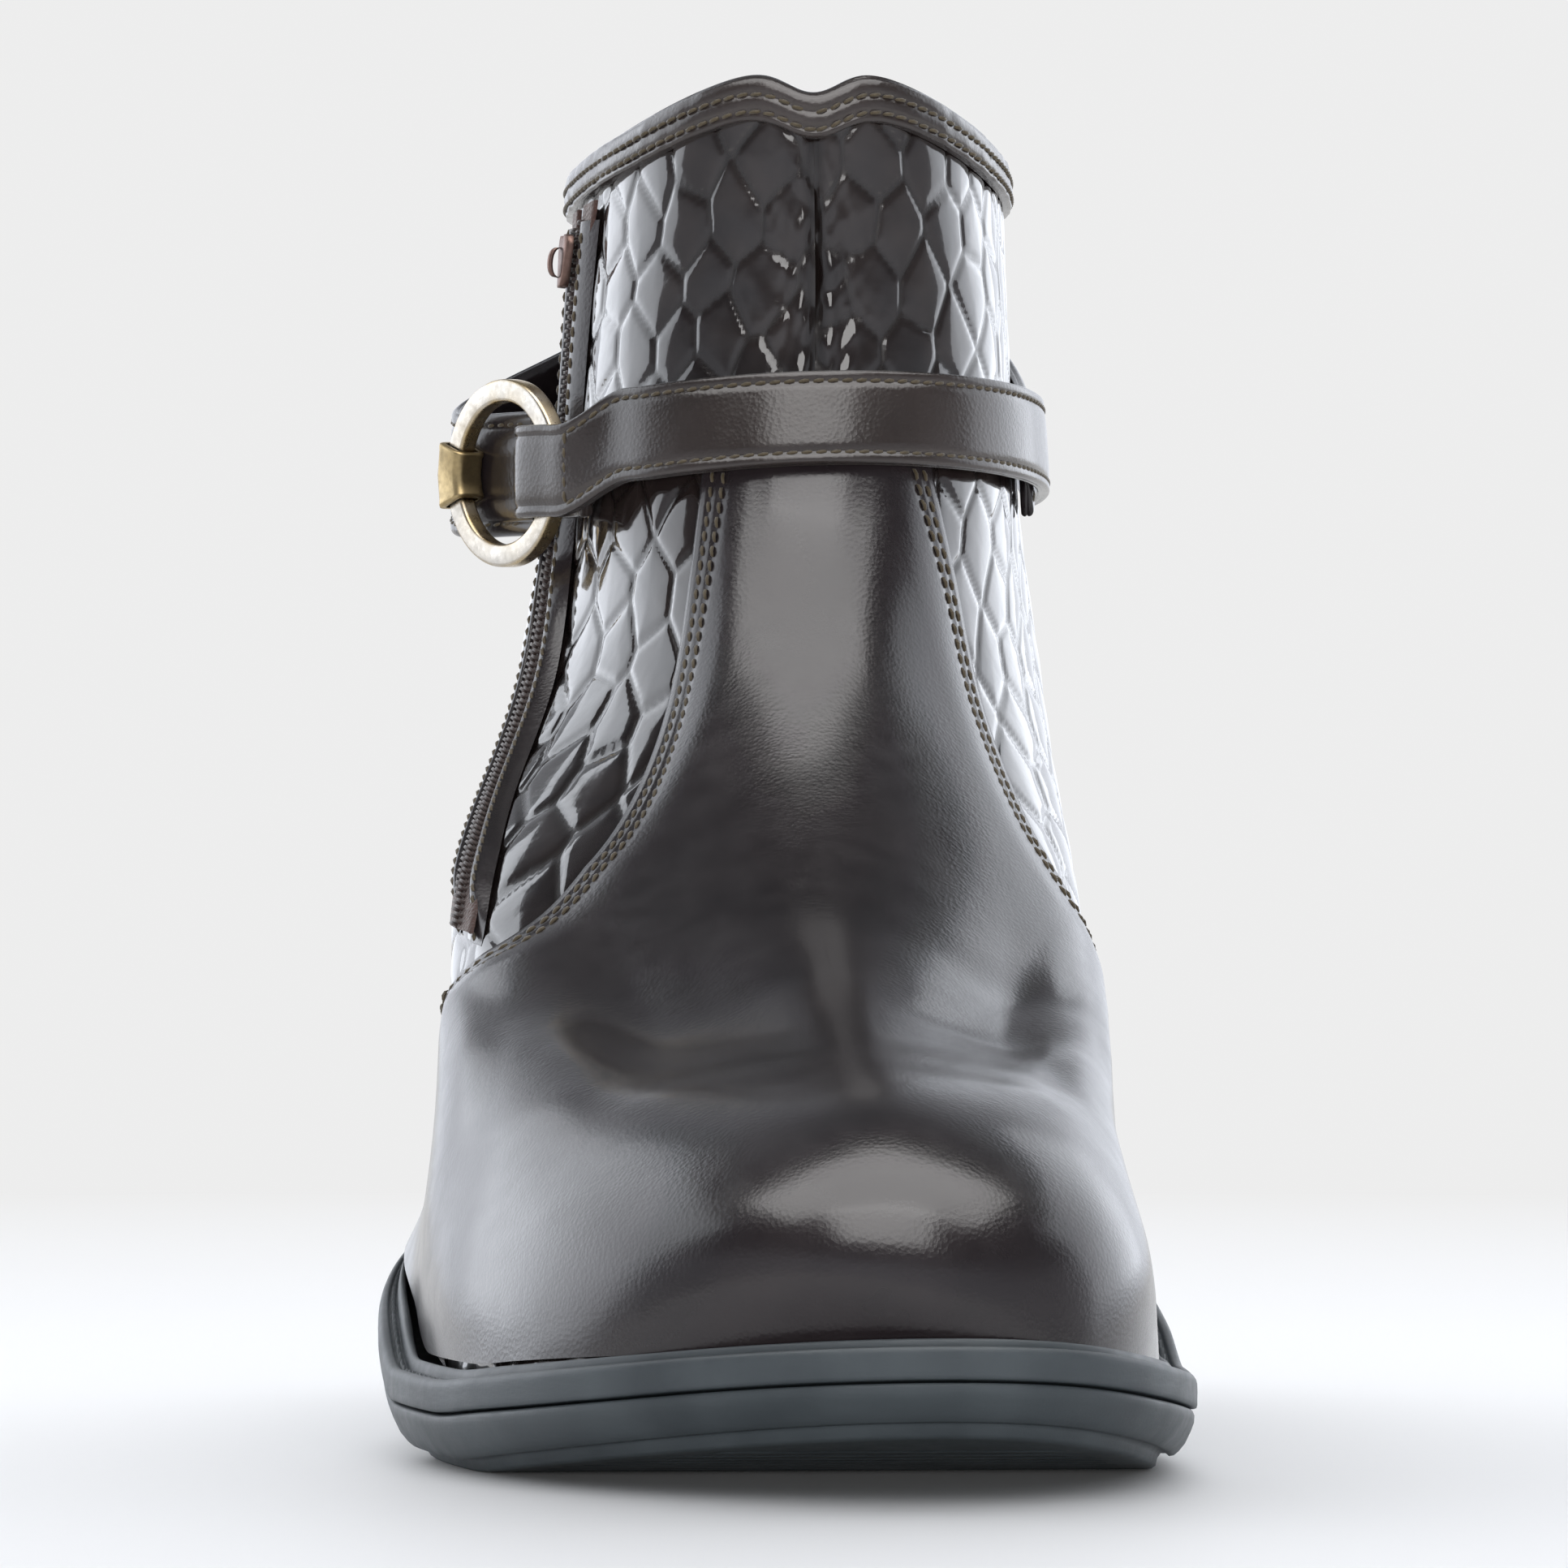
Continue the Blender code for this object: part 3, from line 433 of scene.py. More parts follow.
def grid_faces(rows, across, wrap):
    """Faces between neighbouring rows of points, closed round where wrapped."""
    index = np.arange(rows * across).reshape(rows, across)
    left = index if wrap else index[:, :-1]
    right = np.roll(index, -1, axis=1) if wrap else index[:, 1:]
    return np.stack([left[:-1], right[:-1], right[1:], left[1:]], axis=-1).reshape(-1, 4)


def sheet(name, grid, material, wrap=False, flip=False, **fields):
    """Surface through rows of points, which run from the bottom up and to the inner side."""
    faces = grid_faces(grid.shape[0], grid.shape[1], wrap)
    if flip:
        faces = faces[:, ::-1]
    return add_mesh(name, grid, faces.tolist(), material, **fields)


def dress(item, slot, *nodes):
    """Put a piece on the one body; it may stand for solids, which are then hidden. The slot is not used."""
    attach(item, "root")
    if nodes:
        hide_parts(*nodes)
    return item


def value_noise(x, y, seed):
    """Smooth noise from -1 to 1 on a plane, the same at every run."""
    table = np.random.default_rng(seed).uniform(-1, 1, (64, 64))
    left = np.floor(x).astype(int)
    low = np.floor(y).astype(int)
    share_x = eased(0, 1, x - left)
    share_y = eased(0, 1, y - low)
    corner = [[table[(left + i) % 64, (low + j) % 64] for j in (0, 1)] for i in (0, 1)]
    near = corner[0][0] + (corner[0][1] - corner[0][0]) * share_y
    far = corner[1][0] + (corner[1][1] - corner[1][0]) * share_y
    return near + (far - near) * share_x


# Materials

class Nodes:
    """Short names for the nodes of one material or world."""

    def __init__(self, name, owners=bpy.data.materials):
        self.owner = owners.new(name)
        self.owner.use_nodes = True
        self.tree = self.owner.node_tree
        self.coords = self.add("ShaderNodeTexCoord").outputs
        self.place = self.coords["Object"]

    def feed(self, socket, value):
        if hasattr(value, "links"):
            self.tree.links.new(value, socket)
        elif socket.type == "RGBA":
            socket.default_value = (*value, 1.0)
        else:
            socket.default_value = value

    def add(self, kind, inputs=None, **settings):
        node = self.tree.nodes.new(kind)
        for name, value in settings.items():
            setattr(node, name, value)
        for key, value in (inputs or {}).items():
            self.feed(node.inputs[key], value)
        return node

    def noise(self, size, detail=2.0, rough=0.5, stretch=None):
        """Noise whose lumps are about a size across, in metres."""
        place = self.place
        if stretch:
            place = self.add("ShaderNodeMapping", {"Vector": place, "Scale": stretch}).outputs["Vector"]
        inputs = {"Vector": place, "Scale": 1.0 / size, "Detail": detail, "Roughness": rough}
        return self.add("ShaderNodeTexNoise", inputs).outputs["Fac"]

    def cells(self, size):
        inputs = {"Vector": self.place, "Scale": 1.0 / size}
        return self.add("ShaderNodeTexVoronoi", inputs).outputs["Distance"]

    def ramp(self, value, low, high, start=0.0, end=1.0):
        """Straight change of a value from one range to another, held at its ends."""
        inputs = {"Value": value, "From Min": low, "From Max": high, "To Min": start, "To Max": end}
        return self.add("ShaderNodeMapRange", inputs).outputs["Result"]

    def mix(self, share, first, second, kind="MIX"):
        inputs = {"Factor": share, "A": first, "B": second}
        return self.add("ShaderNodeMix", inputs, data_type="RGBA", blend_type=kind).outputs["Result"]

    def field(self, name):
        return self.add("ShaderNodeAttribute", attribute_name=name).outputs["Fac"]

    def bump(self, height, distance, strength, under=None):
        inputs = {"Height": height, "Distance": distance, "Strength": strength}
        if under is not None:
            inputs["Normal"] = under
        return self.add("ShaderNodeBump", inputs).outputs["Normal"]

    def finish(self, **values):
        """Feed the shader's inputs, named with underscores."""
        for name, value in values.items():
            self.feed(self.tree.nodes["Principled BSDF"].inputs[name.replace("_", " ")], value)
        return self.owner


def darker(colour, share):
    return tuple(channel * share for channel in colour)


def calf_leather(name, dark, light, grain=1.0):
    """Smooth polished leather: fine grain, cloudy dye, with painted shade in its creases and darker cut
    edges.
    """
    nodes = Nodes(name)
    dye = nodes.mix(nodes.ramp(nodes.noise(0.018, 3.0), 0.35, 0.65), dark, light)
    crease = nodes.ramp(nodes.field("crease"), 0.0, 1.0, 0.0, 0.5)
    pores = nodes.bump(nodes.cells(0.00055), 0.00003 * grain, 0.7)
    fine = nodes.bump(nodes.noise(0.00022, 3.0, 0.6), 0.00002 * grain, 0.6, pores)
    return nodes.finish(
        # The crease field paints shade into creases and grooves, and darkens cut edges
        Base_Color=nodes.mix(crease, dye, darker(dark, 0.45)),
        Roughness=nodes.ramp(nodes.noise(0.004, 4.0), 0.3, 0.7, 0.20, 0.27),
        Normal=nodes.bump(nodes.noise(0.005), 0.00005 * grain, 0.35, fine),
        Coat_Weight=0.35, Coat_Roughness=0.16, Specular_IOR_Level=0.5,
    )


def patent_leather():
    """High gloss embossed leather; the lines between its scales are dull, with painted shade at their bottom.
    """
    nodes = Nodes("embossed_patent")
    cloud = nodes.ramp(nodes.noise(0.009, 3.0), 0.35, 0.65)
    dye = nodes.mix(cloud, (0.016, 0.011, 0.011), (0.034, 0.025, 0.023))
    line = nodes.field("line")
    folds = nodes.bump(nodes.noise(0.0016, 3.0, 0.6), 0.00005, 0.35)
    return nodes.finish(
        # The line field paints shade into the lines between the scales and into the front seam
        Base_Color=nodes.mix(line, dye, (0.012, 0.008, 0.007)),
        Roughness=nodes.ramp(line, 0.0, 1.0, 0.10, 0.35),
        Normal=nodes.bump(nodes.noise(0.0045), 0.00022, 0.4, folds),
        Coat_Weight=1.0, Coat_Roughness=0.035,
    )


def thread(name, colour):
    nodes = Nodes(name)
    return nodes.finish(
        Base_Color=nodes.mix(nodes.noise(0.0008), darker(colour, 0.6), colour),
        Normal=nodes.bump(nodes.noise(0.00025), 0.00006, 0.8), Roughness=0.62, Sheen_Weight=0.2,
    )


def sole_rubber(name, dark, light):
    """Matt rubber with a fine moulded tooth, paler where it is rubbed."""
    nodes = Nodes(name)
    fine = nodes.bump(nodes.noise(0.0005, 3.0, 0.6), 0.00004, 0.6)
    return nodes.finish(
        Base_Color=nodes.mix(nodes.ramp(nodes.noise(0.012, 4.0), 0.3, 0.7), dark, light),
        Roughness=nodes.ramp(nodes.noise(0.003, 4.0), 0.3, 0.7, 0.42, 0.56),
        Normal=nodes.bump(nodes.noise(0.004, 3.0, 0.5, (1.0, 1.0, 6.0)), 0.00012, 0.4, fine),
        Specular_IOR_Level=0.45,
    )


def metal(name, colour, edge=None, roughness=0.24):
    """Brushed plating, worn to another colour along its edges where one is given."""
    nodes = Nodes(name)
    patina = nodes.ramp(nodes.noise(0.0014, 5.0, 0.65), 0.38, 0.70)
    tone = nodes.mix(patina, colour, darker(colour, 0.72))
    if edge:
        tone = nodes.mix(nodes.field("rim"), tone, edge)
    return nodes.finish(
        Base_Color=tone, Roughness=nodes.ramp(patina, 0.0, 1.0, roughness, roughness + 0.14),
        Normal=nodes.bump(nodes.noise(0.0009, 5.0, 0.7, (1.0, 1.0, 0.25)), 0.00002, 0.6), Metallic=1.0,
    )


def woven_tape():
    nodes = Nodes("woven_zip_tape")
    weave = nodes.cells(0.0005)
    return nodes.finish(
        Base_Color=nodes.mix(weave, (0.105, 0.050, 0.040), (0.055, 0.027, 0.022)),
        Normal=nodes.bump(weave, 0.00016, 0.9), Roughness=0.82, Sheen_Weight=0.3,
    )


VAMP_LEATHER = calf_leather("smooth_calf", (0.020, 0.015, 0.017), (0.032, 0.025, 0.027))
TRIM_LEATHER = calf_leather("trim_calf", (0.034, 0.026, 0.024), (0.054, 0.042, 0.039), 1.5)
LINING_LEATHER = calf_leather("lining_calf", (0.085, 0.052, 0.036), (0.125, 0.080, 0.056), 1.6)
PATENT = patent_leather()
THREAD = thread("olive_thread", (0.115, 0.088, 0.050))
RUBBER = sole_rubber("welt_rubber", (0.062, 0.074, 0.084), (0.098, 0.116, 0.128))
OUTSOLE_RUBBER = sole_rubber("outsole_rubber", (0.058, 0.070, 0.079), (0.090, 0.107, 0.118))
HEEL_RUBBER = sole_rubber("heel_block_rubber", (0.034, 0.038, 0.042), (0.055, 0.062, 0.068))
NICKEL = metal("nickel_plate", (0.62, 0.60, 0.57), (0.50, 0.38, 0.20))
BRASS = metal("aged_brass", (0.47, 0.36, 0.19), roughness=0.32)
COPPER = metal("zip_metal", (0.20, 0.13, 0.11), roughness=0.36)
ZIP_PLASTIC = thread("zip_coil_plastic", (0.050, 0.030, 0.026))
TAPE = woven_tape()


# Stitches

STITCH_PITCH = 0.0021
STITCH_LENGTH = 0.00165
STITCH_RADIUS = 0.00026
STITCH_SIDES = 6
STITCH_SLANT = 0.12
# Along the stitch in half lengths, radius and sink in radii
STITCH_RINGS = (
    (-1.0, 0.35, -1.3), (-0.78, 0.9, -0.35), (0.0, 1.05, 0.25), (0.78, 0.9, -0.35), (1.0, 0.35, -1.3),
)


def repeated(faces, block, count):
    """Faces of one small form, for as many blocks of points as there are."""
    starts = range(0, block * count, block)
    return [tuple(start + corner for corner in face) for start in starts for face in faces]


def stitch_piece(name, paths, slot, pitch=STITCH_PITCH):
    """Short threads laid along paths, each of points and their outward normals."""
    bends = np.linspace(0, 2 * math.pi, STITCH_SIDES, endpoint=False)[:, None]
    reach, size, lift = np.array(STITCH_RINGS).T[:, :, None]
    found = []
    for line, normals in paths:
        knots = lengths_along(line)
        spots = np.arange(pitch / 2, knots[-1] - pitch / 4, pitch)
        up = unit(at_lengths(spots, knots, normals))[:, None]
        ahead = at_lengths(spots + pitch / 3, knots, line) - at_lengths(spots - pitch / 3, knots, line)
        run = unit(ahead)[:, None]
        side = unit(np.cross(up, run))
        run = unit(run + STITCH_SLANT * side)
        middle = at_lengths(spots, knots, line)[:, None] + run * reach * STITCH_LENGTH / 2
        middle = middle + up * lift * STITCH_RADIUS
        spread = np.cos(bends) * side + np.sin(bends) * up
        found.append(middle[:, :, None] + STITCH_RADIUS * size[:, :, None] * spread[:, None])
    points = np.concatenate(found)
    faces = grid_faces(len(STITCH_RINGS), STITCH_SIDES, True)[:, [0, 3, 2, 1]].tolist()
    last = (len(STITCH_RINGS) - 1) * STITCH_SIDES
    faces += [range(STITCH_SIDES), range(last + STITCH_SIDES - 1, last - 1, -1)]
    faces = repeated(faces, len(STITCH_RINGS) * STITCH_SIDES, len(points))
    return dress(add_mesh(name, points, faces, THREAD), slot)


# Quarters of embossed leather

SCALE_WIDTH = 0.0088
SCALE_STEP = 0.0082         # rise from one row of scales to the next, which stands half a scale aside
SCALE_SQUASH = 0.70
SCALE_JITTER = 0.20
SCALE_CROWN = 0.00020
SCALE_SHOULDER = 0.0042
LINE_DEPTH = 0.00026
LINE_WIDTH = 0.00036


def scale_pattern(across, up, seed):
    """Distance to the nearest line between the scales, and a value of its own for each scale."""
    rng = np.random.default_rng(seed)
    shifts = rng.uniform(-1, 1, (64, 64, 2)) * SCALE_JITTER
    tones = rng.uniform(0, 1, (64, 64))
    row = np.round(up / SCALE_STEP).astype(int)
    seeds = []
    for lift in range(-2, 3):
        this_row = row + lift
        aside = 0.5 * (this_row % 2)
        middle = np.round(across / SCALE_WIDTH - aside).astype(int)
        for step in (-1, 0, 1):
            spot = middle + step
            shift = shifts[spot % 64, this_row % 64]
            x = (spot + aside + shift[..., 0]) * SCALE_WIDTH
            y = (this_row + shift[..., 1]) * SCALE_STEP * SCALE_SQUASH
            seeds.append((x, y, tones[spot % 64, this_row % 64]))
    x, y, tone = np.stack(seeds, axis=1)
    squashed = up * SCALE_SQUASH
    nearest = np.hypot(x - across, y - squashed).argmin(axis=0)[None]
    own_x = np.take_along_axis(x, nearest, 0)
    own_y = np.take_along_axis(y, nearest, 0)
    span = np.hypot(x - own_x, y - own_y)
    reach = (x - own_x) * ((x + own_x) / 2 - across) + (y - own_y) * ((y + own_y) / 2 - squashed)
    edge = np.where(span > 1e-6, reach / np.maximum(span, 1e-9), 1.0).min(axis=0)
    return edge, np.take_along_axis(tone, nearest, 0)[0]


def fill(low, high, step):
    """Even places from low to high, about a step apart."""
    return np.linspace(low, high, max(int(round((high - low) / step)), 1) + 1)


QUARTER_LEVELS = np.concatenate([
    fill(0.0, 2.0, 0.10)[:-1], fill(2.0, 4.0, 0.036)[:-1], fill(4.0, 5.0, 0.030)[:-1],
    fill(5.0, 6.0, 0.022)[:-1], fill(6.0, 7.0, 0.0165),
])
QUARTER_COLUMNS = 300
SEAM_WIDTH = 0.0009
SEAM_DEPTH = 0.0007
SHAFT_MATCH_LEVEL = 6.2
FRONT_SHARE = 0.6
CRINKLE_REACH = 0.0060
CRINKLE_HEIGHT = 0.00030


def hide_place(base, turns):
    """Distance round the shaft from the seam at the back, eased towards the front seam's own measure."""
    length = lengths_along(base[..., :2], axis=1)
    girth = length[:, -1:]
    match = int(np.abs(QUARTER_LEVELS - SHAFT_MATCH_LEVEL).argmin())
    share = FRONT_SHARE * (1 - eased(40, 135, np.abs(turns)[None, :]))
    return girth - length - share * (girth - girth[match])


def quarter(name, side, seed):
    """One side of the shaft in embossed leather, from the front seam to the seam at the back."""
    share = np.linspace(0, 1, QUARTER_COLUMNS)
    turns = side * 180 * (0.80 * share + 0.20 * share ** 2)
    level = QUARTER_LEVELS[:, None]
    base = upper_point(turns[None, :], level)
    across = lengths_along(base, axis=1)
    hide = hide_place(base, turns)
    up = base[..., 2]
    sway = 0.0011 * value_noise(hide / 0.012 + 20, up / 0.014, seed)
    edge, tone = scale_pattern(hide * side + sway + 0.3, up + 1.2 * sway, seed)
    line = bell(edge, LINE_WIDTH)
    crown = 1 - (1 - np.clip(edge / SCALE_SHOULDER, 0, 1)) ** 2
    relief = SCALE_CROWN * (crown - 0.75) * (0.8 + 0.4 * tone) - LINE_DEPTH * line
    # The seam in front, with crinkled leather beside it
    above_strap = eased(5.2, 5.5, level)
    seam = bell(across, SEAM_WIDTH) * above_strap
    crinkled = bell(across, CRINKLE_REACH) * eased(5.2, 5.6, level) * (1 - eased(6.7, 6.95, level))
    crinkle = value_noise(across / 0.0011, (up + across * 0.9) / 0.0026, seed + 7)
    crinkle += 0.6 * value_noise(across / 0.0022, (up - across * 1.1) / 0.0018, seed + 8)
    relief = relief * (1 - 0.5 * crinkled) + CRINKLE_HEIGHT * crinkle * crinkled - SEAM_DEPTH * seam
    relief += 0.00022 * value_noise(across / 0.016, up / 0.020, seed + 9) * eased(3.5, 4.5, level)
    relief += 0.00035 * bell(across - 0.0019, 0.0011) * above_strap
    grid = base + relief[..., None] * upper_normal(turns[None, :], level)
    # The line field carries the painted shade for the scale lines and the seam
    line = np.clip(line + seam, 0, 1)
    item = sheet(name, grid[:, ::side], PATENT, line=line[:, ::side])
    return dress(item, "patent_leather", "upper")


quarter("quarter_outer", -1, 11)
quarter("quarter_inner", 1, 29)


def make_lining():
    """Inner face of the wall, turned over at the collar and the feather line to meet the quarters."""
    turns = np.arange(0, 360, 3.0)
    levels = np.concatenate([[0.0], fill(0.0, 7.0, 0.125), [7.0]])
    depths = np.full((len(levels), len(turns)), UPPER_WALL)
    depths[[0, -1]] = 0.0
    grid = upper_skin(turns[None, :], levels[:, None], -depths)
    item = sheet("lining", grid, LINING_LEATHER, wrap=True, flip=True, crease=0 * depths)
    return dress(item, "calf_leather", "upper")


make_lining()


# Vamp of smooth leather

VAMP_EDGE_OUT = 0.0011      # the vamp's edge lies this far over the quarters
VAMP_FULL_OUT = VAMP_GAP + VAMP_THICKNESS
VAMP_EDGE_REACH = 0.0085
VAMP_STITCH_ROWS = (0.0013, 0.0031)
EDGE_STEPS = ((-0.00055, 0.0), (-0.00060, 0.00045), (-0.00042, 0.00085))

CREASE_STRENGTH = 0.45
CREASE_STEPS = 40
# Soft creases: turn and level of each end, bow across it, width, depth
CREASES = (
    (-44, 2.35, -6, 3.10, 0.10, 0.0042, 0.00042),
    (-62, 2.20, -20, 2.62, 0.06, 0.0036, 0.00026),
    (-30, 3.30, -4, 3.55, 0.05, 0.0050, 0.00026),
    (14, 3.35, 58, 2.55, 0.12, 0.0040, 0.00050),
    (22, 3.65, 66, 2.80, 0.10, 0.0040, 0.00034),
    (8, 2.85, 50, 2.15, 0.08, 0.0036, 0.00034),
    (-12, 3.95, 14, 3.90, -0.05, 0.0060, 0.00030),
    (40, 2.25, 74, 1.75, 0.05, 0.0034, 0.00022),
    (-70, 2.75, -42, 2.95, 0.05, 0.0034, 0.00022),
)


def crease_relief(points):
    """Troughs of the creases with soft ridges beside them, and how deep each point lies in one, for painted
    shade in the creases.
    """
    relief = np.zeros(points.shape[:2])
    crease_shade = np.zeros(points.shape[:2])
    share = np.linspace(0, 1, CREASE_STEPS)
    for turn_a, level_a, turn_b, level_b, bow, width, depth in CREASES:
        turns = turn_a + (turn_b - turn_a) * share
        levels = level_a + (level_b - level_a) * share + bow * np.sin(math.pi * share)
        line = upper_skin(turns, levels, np.full(CREASE_STEPS, VAMP_FULL_OUT))
        away = np.full(points.shape[:2], 1.0)
        where = np.zeros(points.shape[:2])
        for spot, at in zip(line, share):
            distance = np.linalg.norm(points - spot, axis=-1)
            where = np.where(distance < away, at, where)
            away = np.minimum(distance, away)
        strength = np.sin(math.pi * np.clip(where, 0.04, 0.96)) ** 0.7
        trough = bell(away, width)
        ridge = bell(away - 1.9 * width, 0.9 * width)
        relief += depth * strength * (0.40 * ridge - trough)
        # Painted shade, strongest at the bottom of each crease
        crease_shade = np.maximum(crease_shade, trough * strength * depth / 0.0005)
    return relief, np.clip(crease_shade, 0, 1)


def vamp_turns(levels):
    """Turns of the columns, even in distance and close together beside the edges."""
    first = VAMP_OUTER(levels)[:, None]
    turns = first + (VAMP_INNER(levels)[:, None] - first) * np.linspace(0, 1, 161)
    lengths = lengths_along(upper_point(turns, levels[:, None]), axis=1)
    edge = np.concatenate([np.arange(0, 0.0052, 0.00042), [0.0062, 0.0078]])
    found = []
    for own_turns, own_lengths in zip(turns, lengths):
        width = own_lengths[-1]
        spots = np.concatenate([edge, np.linspace(0.0095, width - 0.0095, 130), width - edge[::-1]])
        found.append(np.interp(spots, own_lengths, own_turns))
    return np.array(found)


def make_vamp():
    """Vamp with its tongue: thin and dented by stitches at its edges, creased where the toes bend."""
    levels = np.concatenate([
        [VAMP_BOTTOM_LEVEL], fill(0.14, 1.0, 0.055)[:-1], fill(1.0, 2.0, 0.055)[:-1],
        fill(2.0, 4.0, 0.042)[:-1], fill(4.0, VAMP_TOP_LEVEL, 0.048),
    ])
    turns = vamp_turns(levels)
    level = levels[:, None]
    base = upper_point(turns, level)
    normals = upper_normal(turns, level)
    across = lengths_along(base, axis=1)
    inward = np.minimum(across, across[:, -1:] - across)
    out = VAMP_EDGE_OUT + (VAMP_FULL_OUT - VAMP_EDGE_OUT) * eased(0, VAMP_EDGE_REACH, inward)
    out -= 0.00022 * bell(inward, 0.00042)
    for row in VAMP_STITCH_ROWS:
        out -= 0.00016 * bell(inward - row, 0.00055)
    rest = 1 - bell(inward, 0.005)
    level = np.broadcast_to(level, across.shape)
    out += 0.00005 * value_noise(across / 0.016, level * 2.0, 5) * rest
    out += 0.00002 * value_noise(across / 0.006, level * 5, 6) * rest
    crease, depth = crease_relief(base + VAMP_FULL_OUT * normals)
    out += CREASE_STRENGTH * crease * rest * eased(0.7, 1.6, level)
    grid = base + out[..., None] * normals
    # The cut edge turns down onto the quarters
    for column, beside, order in ((0, 1, 1), (-1, -2, -1)):
        beyond = unit(base[:, column] - base[:, beside])
        steps = EDGE_STEPS[::order]
        edge = [base[:, column] - over * beyond + lift * normals[:, column] for over, lift in steps]
        grid = np.concatenate([np.stack(edge, axis=1), grid][::order], axis=1)
    # Painted shade in the crease troughs; the turned-down cut edge is darker
    depth = np.pad(depth * rest, ((0, 0), (3, 3))) + np.pad(0 * inward, ((0, 0), (3, 3)), constant_values=0.6)
    dress(sheet("vamp_leather", grid, VAMP_LEATHER, crease=np.clip(depth, 0, 1)), "calf_leather", "vamp")


def edge_path(edge_curve, side, distance):
    """Line of stitches a distance in from an edge of the vamp, with its normals."""
    lap = eased(0, VAMP_EDGE_REACH, distance)
    out = VAMP_EDGE_OUT + (VAMP_FULL_OUT - VAMP_EDGE_OUT) * lap - 0.00006
    levels = np.linspace(0.5, VAMP_TOP_LEVEL - 0.1, 260)
    turns = edge_curve(levels)
    base = upper_point(turns, levels)
    normals = upper_normal(turns, levels)
    inward = unit(np.cross(normals, unit(np.gradient(base, axis=0)))) * side
    return base + inward * distance + normals * out, normals


make_vamp()
stitch_piece("vamp_stitching", [
    edge_path(edge_curve, side, distance)
    for distance in VAMP_STITCH_ROWS for edge_curve, side in ((VAMP_OUTER, -1), (VAMP_INNER, 1))
], "calf_leather")


# Collar binding, folded over the edge

BINDING_STITCH_ROWS = (0.0013, 0.0036)
BINDING_BULGE = 0.00018


def binding_section():
    """Out and lift along the strip, from its inner hem over the edge to its outer hem."""
    inner = -UPPER_WALL - 2 * FIT_GAP - BINDING_THICKNESS
    outer = FIT_GAP + BINDING_THICKNESS
    middle = (inner + outer) / 2
    half = (outer - inner) / 2
    section = [(inner + BINDING_THICKNESS, -BINDING_HEIGHT), (inner, -BINDING_HEIGHT + 0.0002)]
    section += [(inner, lift) for lift in np.linspace(-BINDING_HEIGHT + 0.0006, -0.0004, 7)]
    for bend in np.linspace(165, 15, 11):
        angle = math.radians(bend)
        rise = 0.0002 + (2 * FIT_GAP + BINDING_THICKNESS) * math.sin(angle)
        section.append((middle + half * math.cos(angle), rise))
    section += [(outer, lift) for lift in np.linspace(-0.0002, -BINDING_HEIGHT + 0.0005, 22)]
    section += [(outer - 0.0001, -BINDING_HEIGHT + 0.0001), (outer - 0.0004, -BINDING_HEIGHT)]
    section += [(outer - BINDING_THICKNESS - 0.0004, -BINDING_HEIGHT)]
    return section


def make_binding():
    """Strip sewn over the collar's edge, with gathers and two rows of stitches."""
    turns = np.arange(0, 360, 0.75)
    knots = lengths_along(upper_point(turns[None, :], np.linspace(6.0, 7.0, 12)[:, None]), axis=0)[-1]
    around = lengths_along(np.vstack([upper_point(turns, 7.0), upper_point(turns[:1], 7.0)]))[:-1]
    rows = []
    depths = []
    for out, lift in binding_section():
        drop = min(lift, 0.0) / knots
        swell = 0.0
        if out > 0:
            swell = BINDING_BULGE * (1 - ((lift + BINDING_HEIGHT / 2) / (BINDING_HEIGHT / 2)) ** 2)
            for row in BINDING_STITCH_ROWS:
                swell = swell - 0.00022 * bell(-lift - row, 0.0005)
        gathers = 0.00010 * value_noise(around / 0.0018, np.full(len(turns), lift / 0.004 + 20), 41)
        gathers += 0.00012 * value_noise(around / 0.009, np.full(len(turns), lift / 0.008 + 20), 42)
        row_points = upper_skin(turns, TOP_LEVEL + drop, out + swell + gathers * (out > 0))
        row_points[:, 2] += max(lift, 0.0) + FIT_GAP
        rows.append(row_points)
        # Darker along the cut edges of both hems
        depths.append(np.full(len(turns), 0.5 if lift < -BINDING_HEIGHT + 0.0004 else 0.0))
    grid = np.array(rows)[::-1]
    item = sheet("collar_strip", grid, TRIM_LEATHER, wrap=True, crease=np.array(depths)[::-1])
    dress(item, "trim_leather", "collar_binding")
    paths = []
    for row in BINDING_STITCH_ROWS:
        loop = np.append(turns, 360.0)
        drop = row / np.append(knots, knots[0])
        line = upper_skin(loop, TOP_LEVEL - drop, np.full(len(loop), FIT_GAP + BINDING_THICKNESS + 0.00008))
        line[:, 2] += FIT_GAP
        paths.append((line, upper_normal(loop, TOP_LEVEL - drop)))
    stitch_piece("collar_stitching", paths, "trim_leather", pitch=0.00195)


make_binding()


# Ring, clip and straps

def strap_height(share):
    return float(ledge(OUTSOLE_LENGTH)) + share * SHAFT_HEIGHT


def shaft_place(turns, heights, out):
    """Points a level distance out from the shaft at given heights, and that direction."""
    levels = level_at_height(turns, heights)
    outward = plan_unit(upper_normal(turns, levels))
    return upper_point(turns, levels) + out * outward, outward


LEAVE, FACE = shaft_place(STRAP_LEAVES_SHAFT, strap_height(RING_HEIGHT), STRAP_STANDOFF)
RUN = -np.cross(np.array([0.0, 0.0, 1.0]), FACE)
RING_SINK = RING_THICKNESS / 2 + FIT_GAP
RING_MIDDLE = LEAVE + RUN * RING_REACH + FACE * (RING_LIFT - RING_SINK)


def by_ring(back, out, height):
    """Point by its distance back from the ring's middle, out from its plane and its height."""
    point = RING_MIDDLE + RUN * back + FACE * out
    point[2] = height
    return point


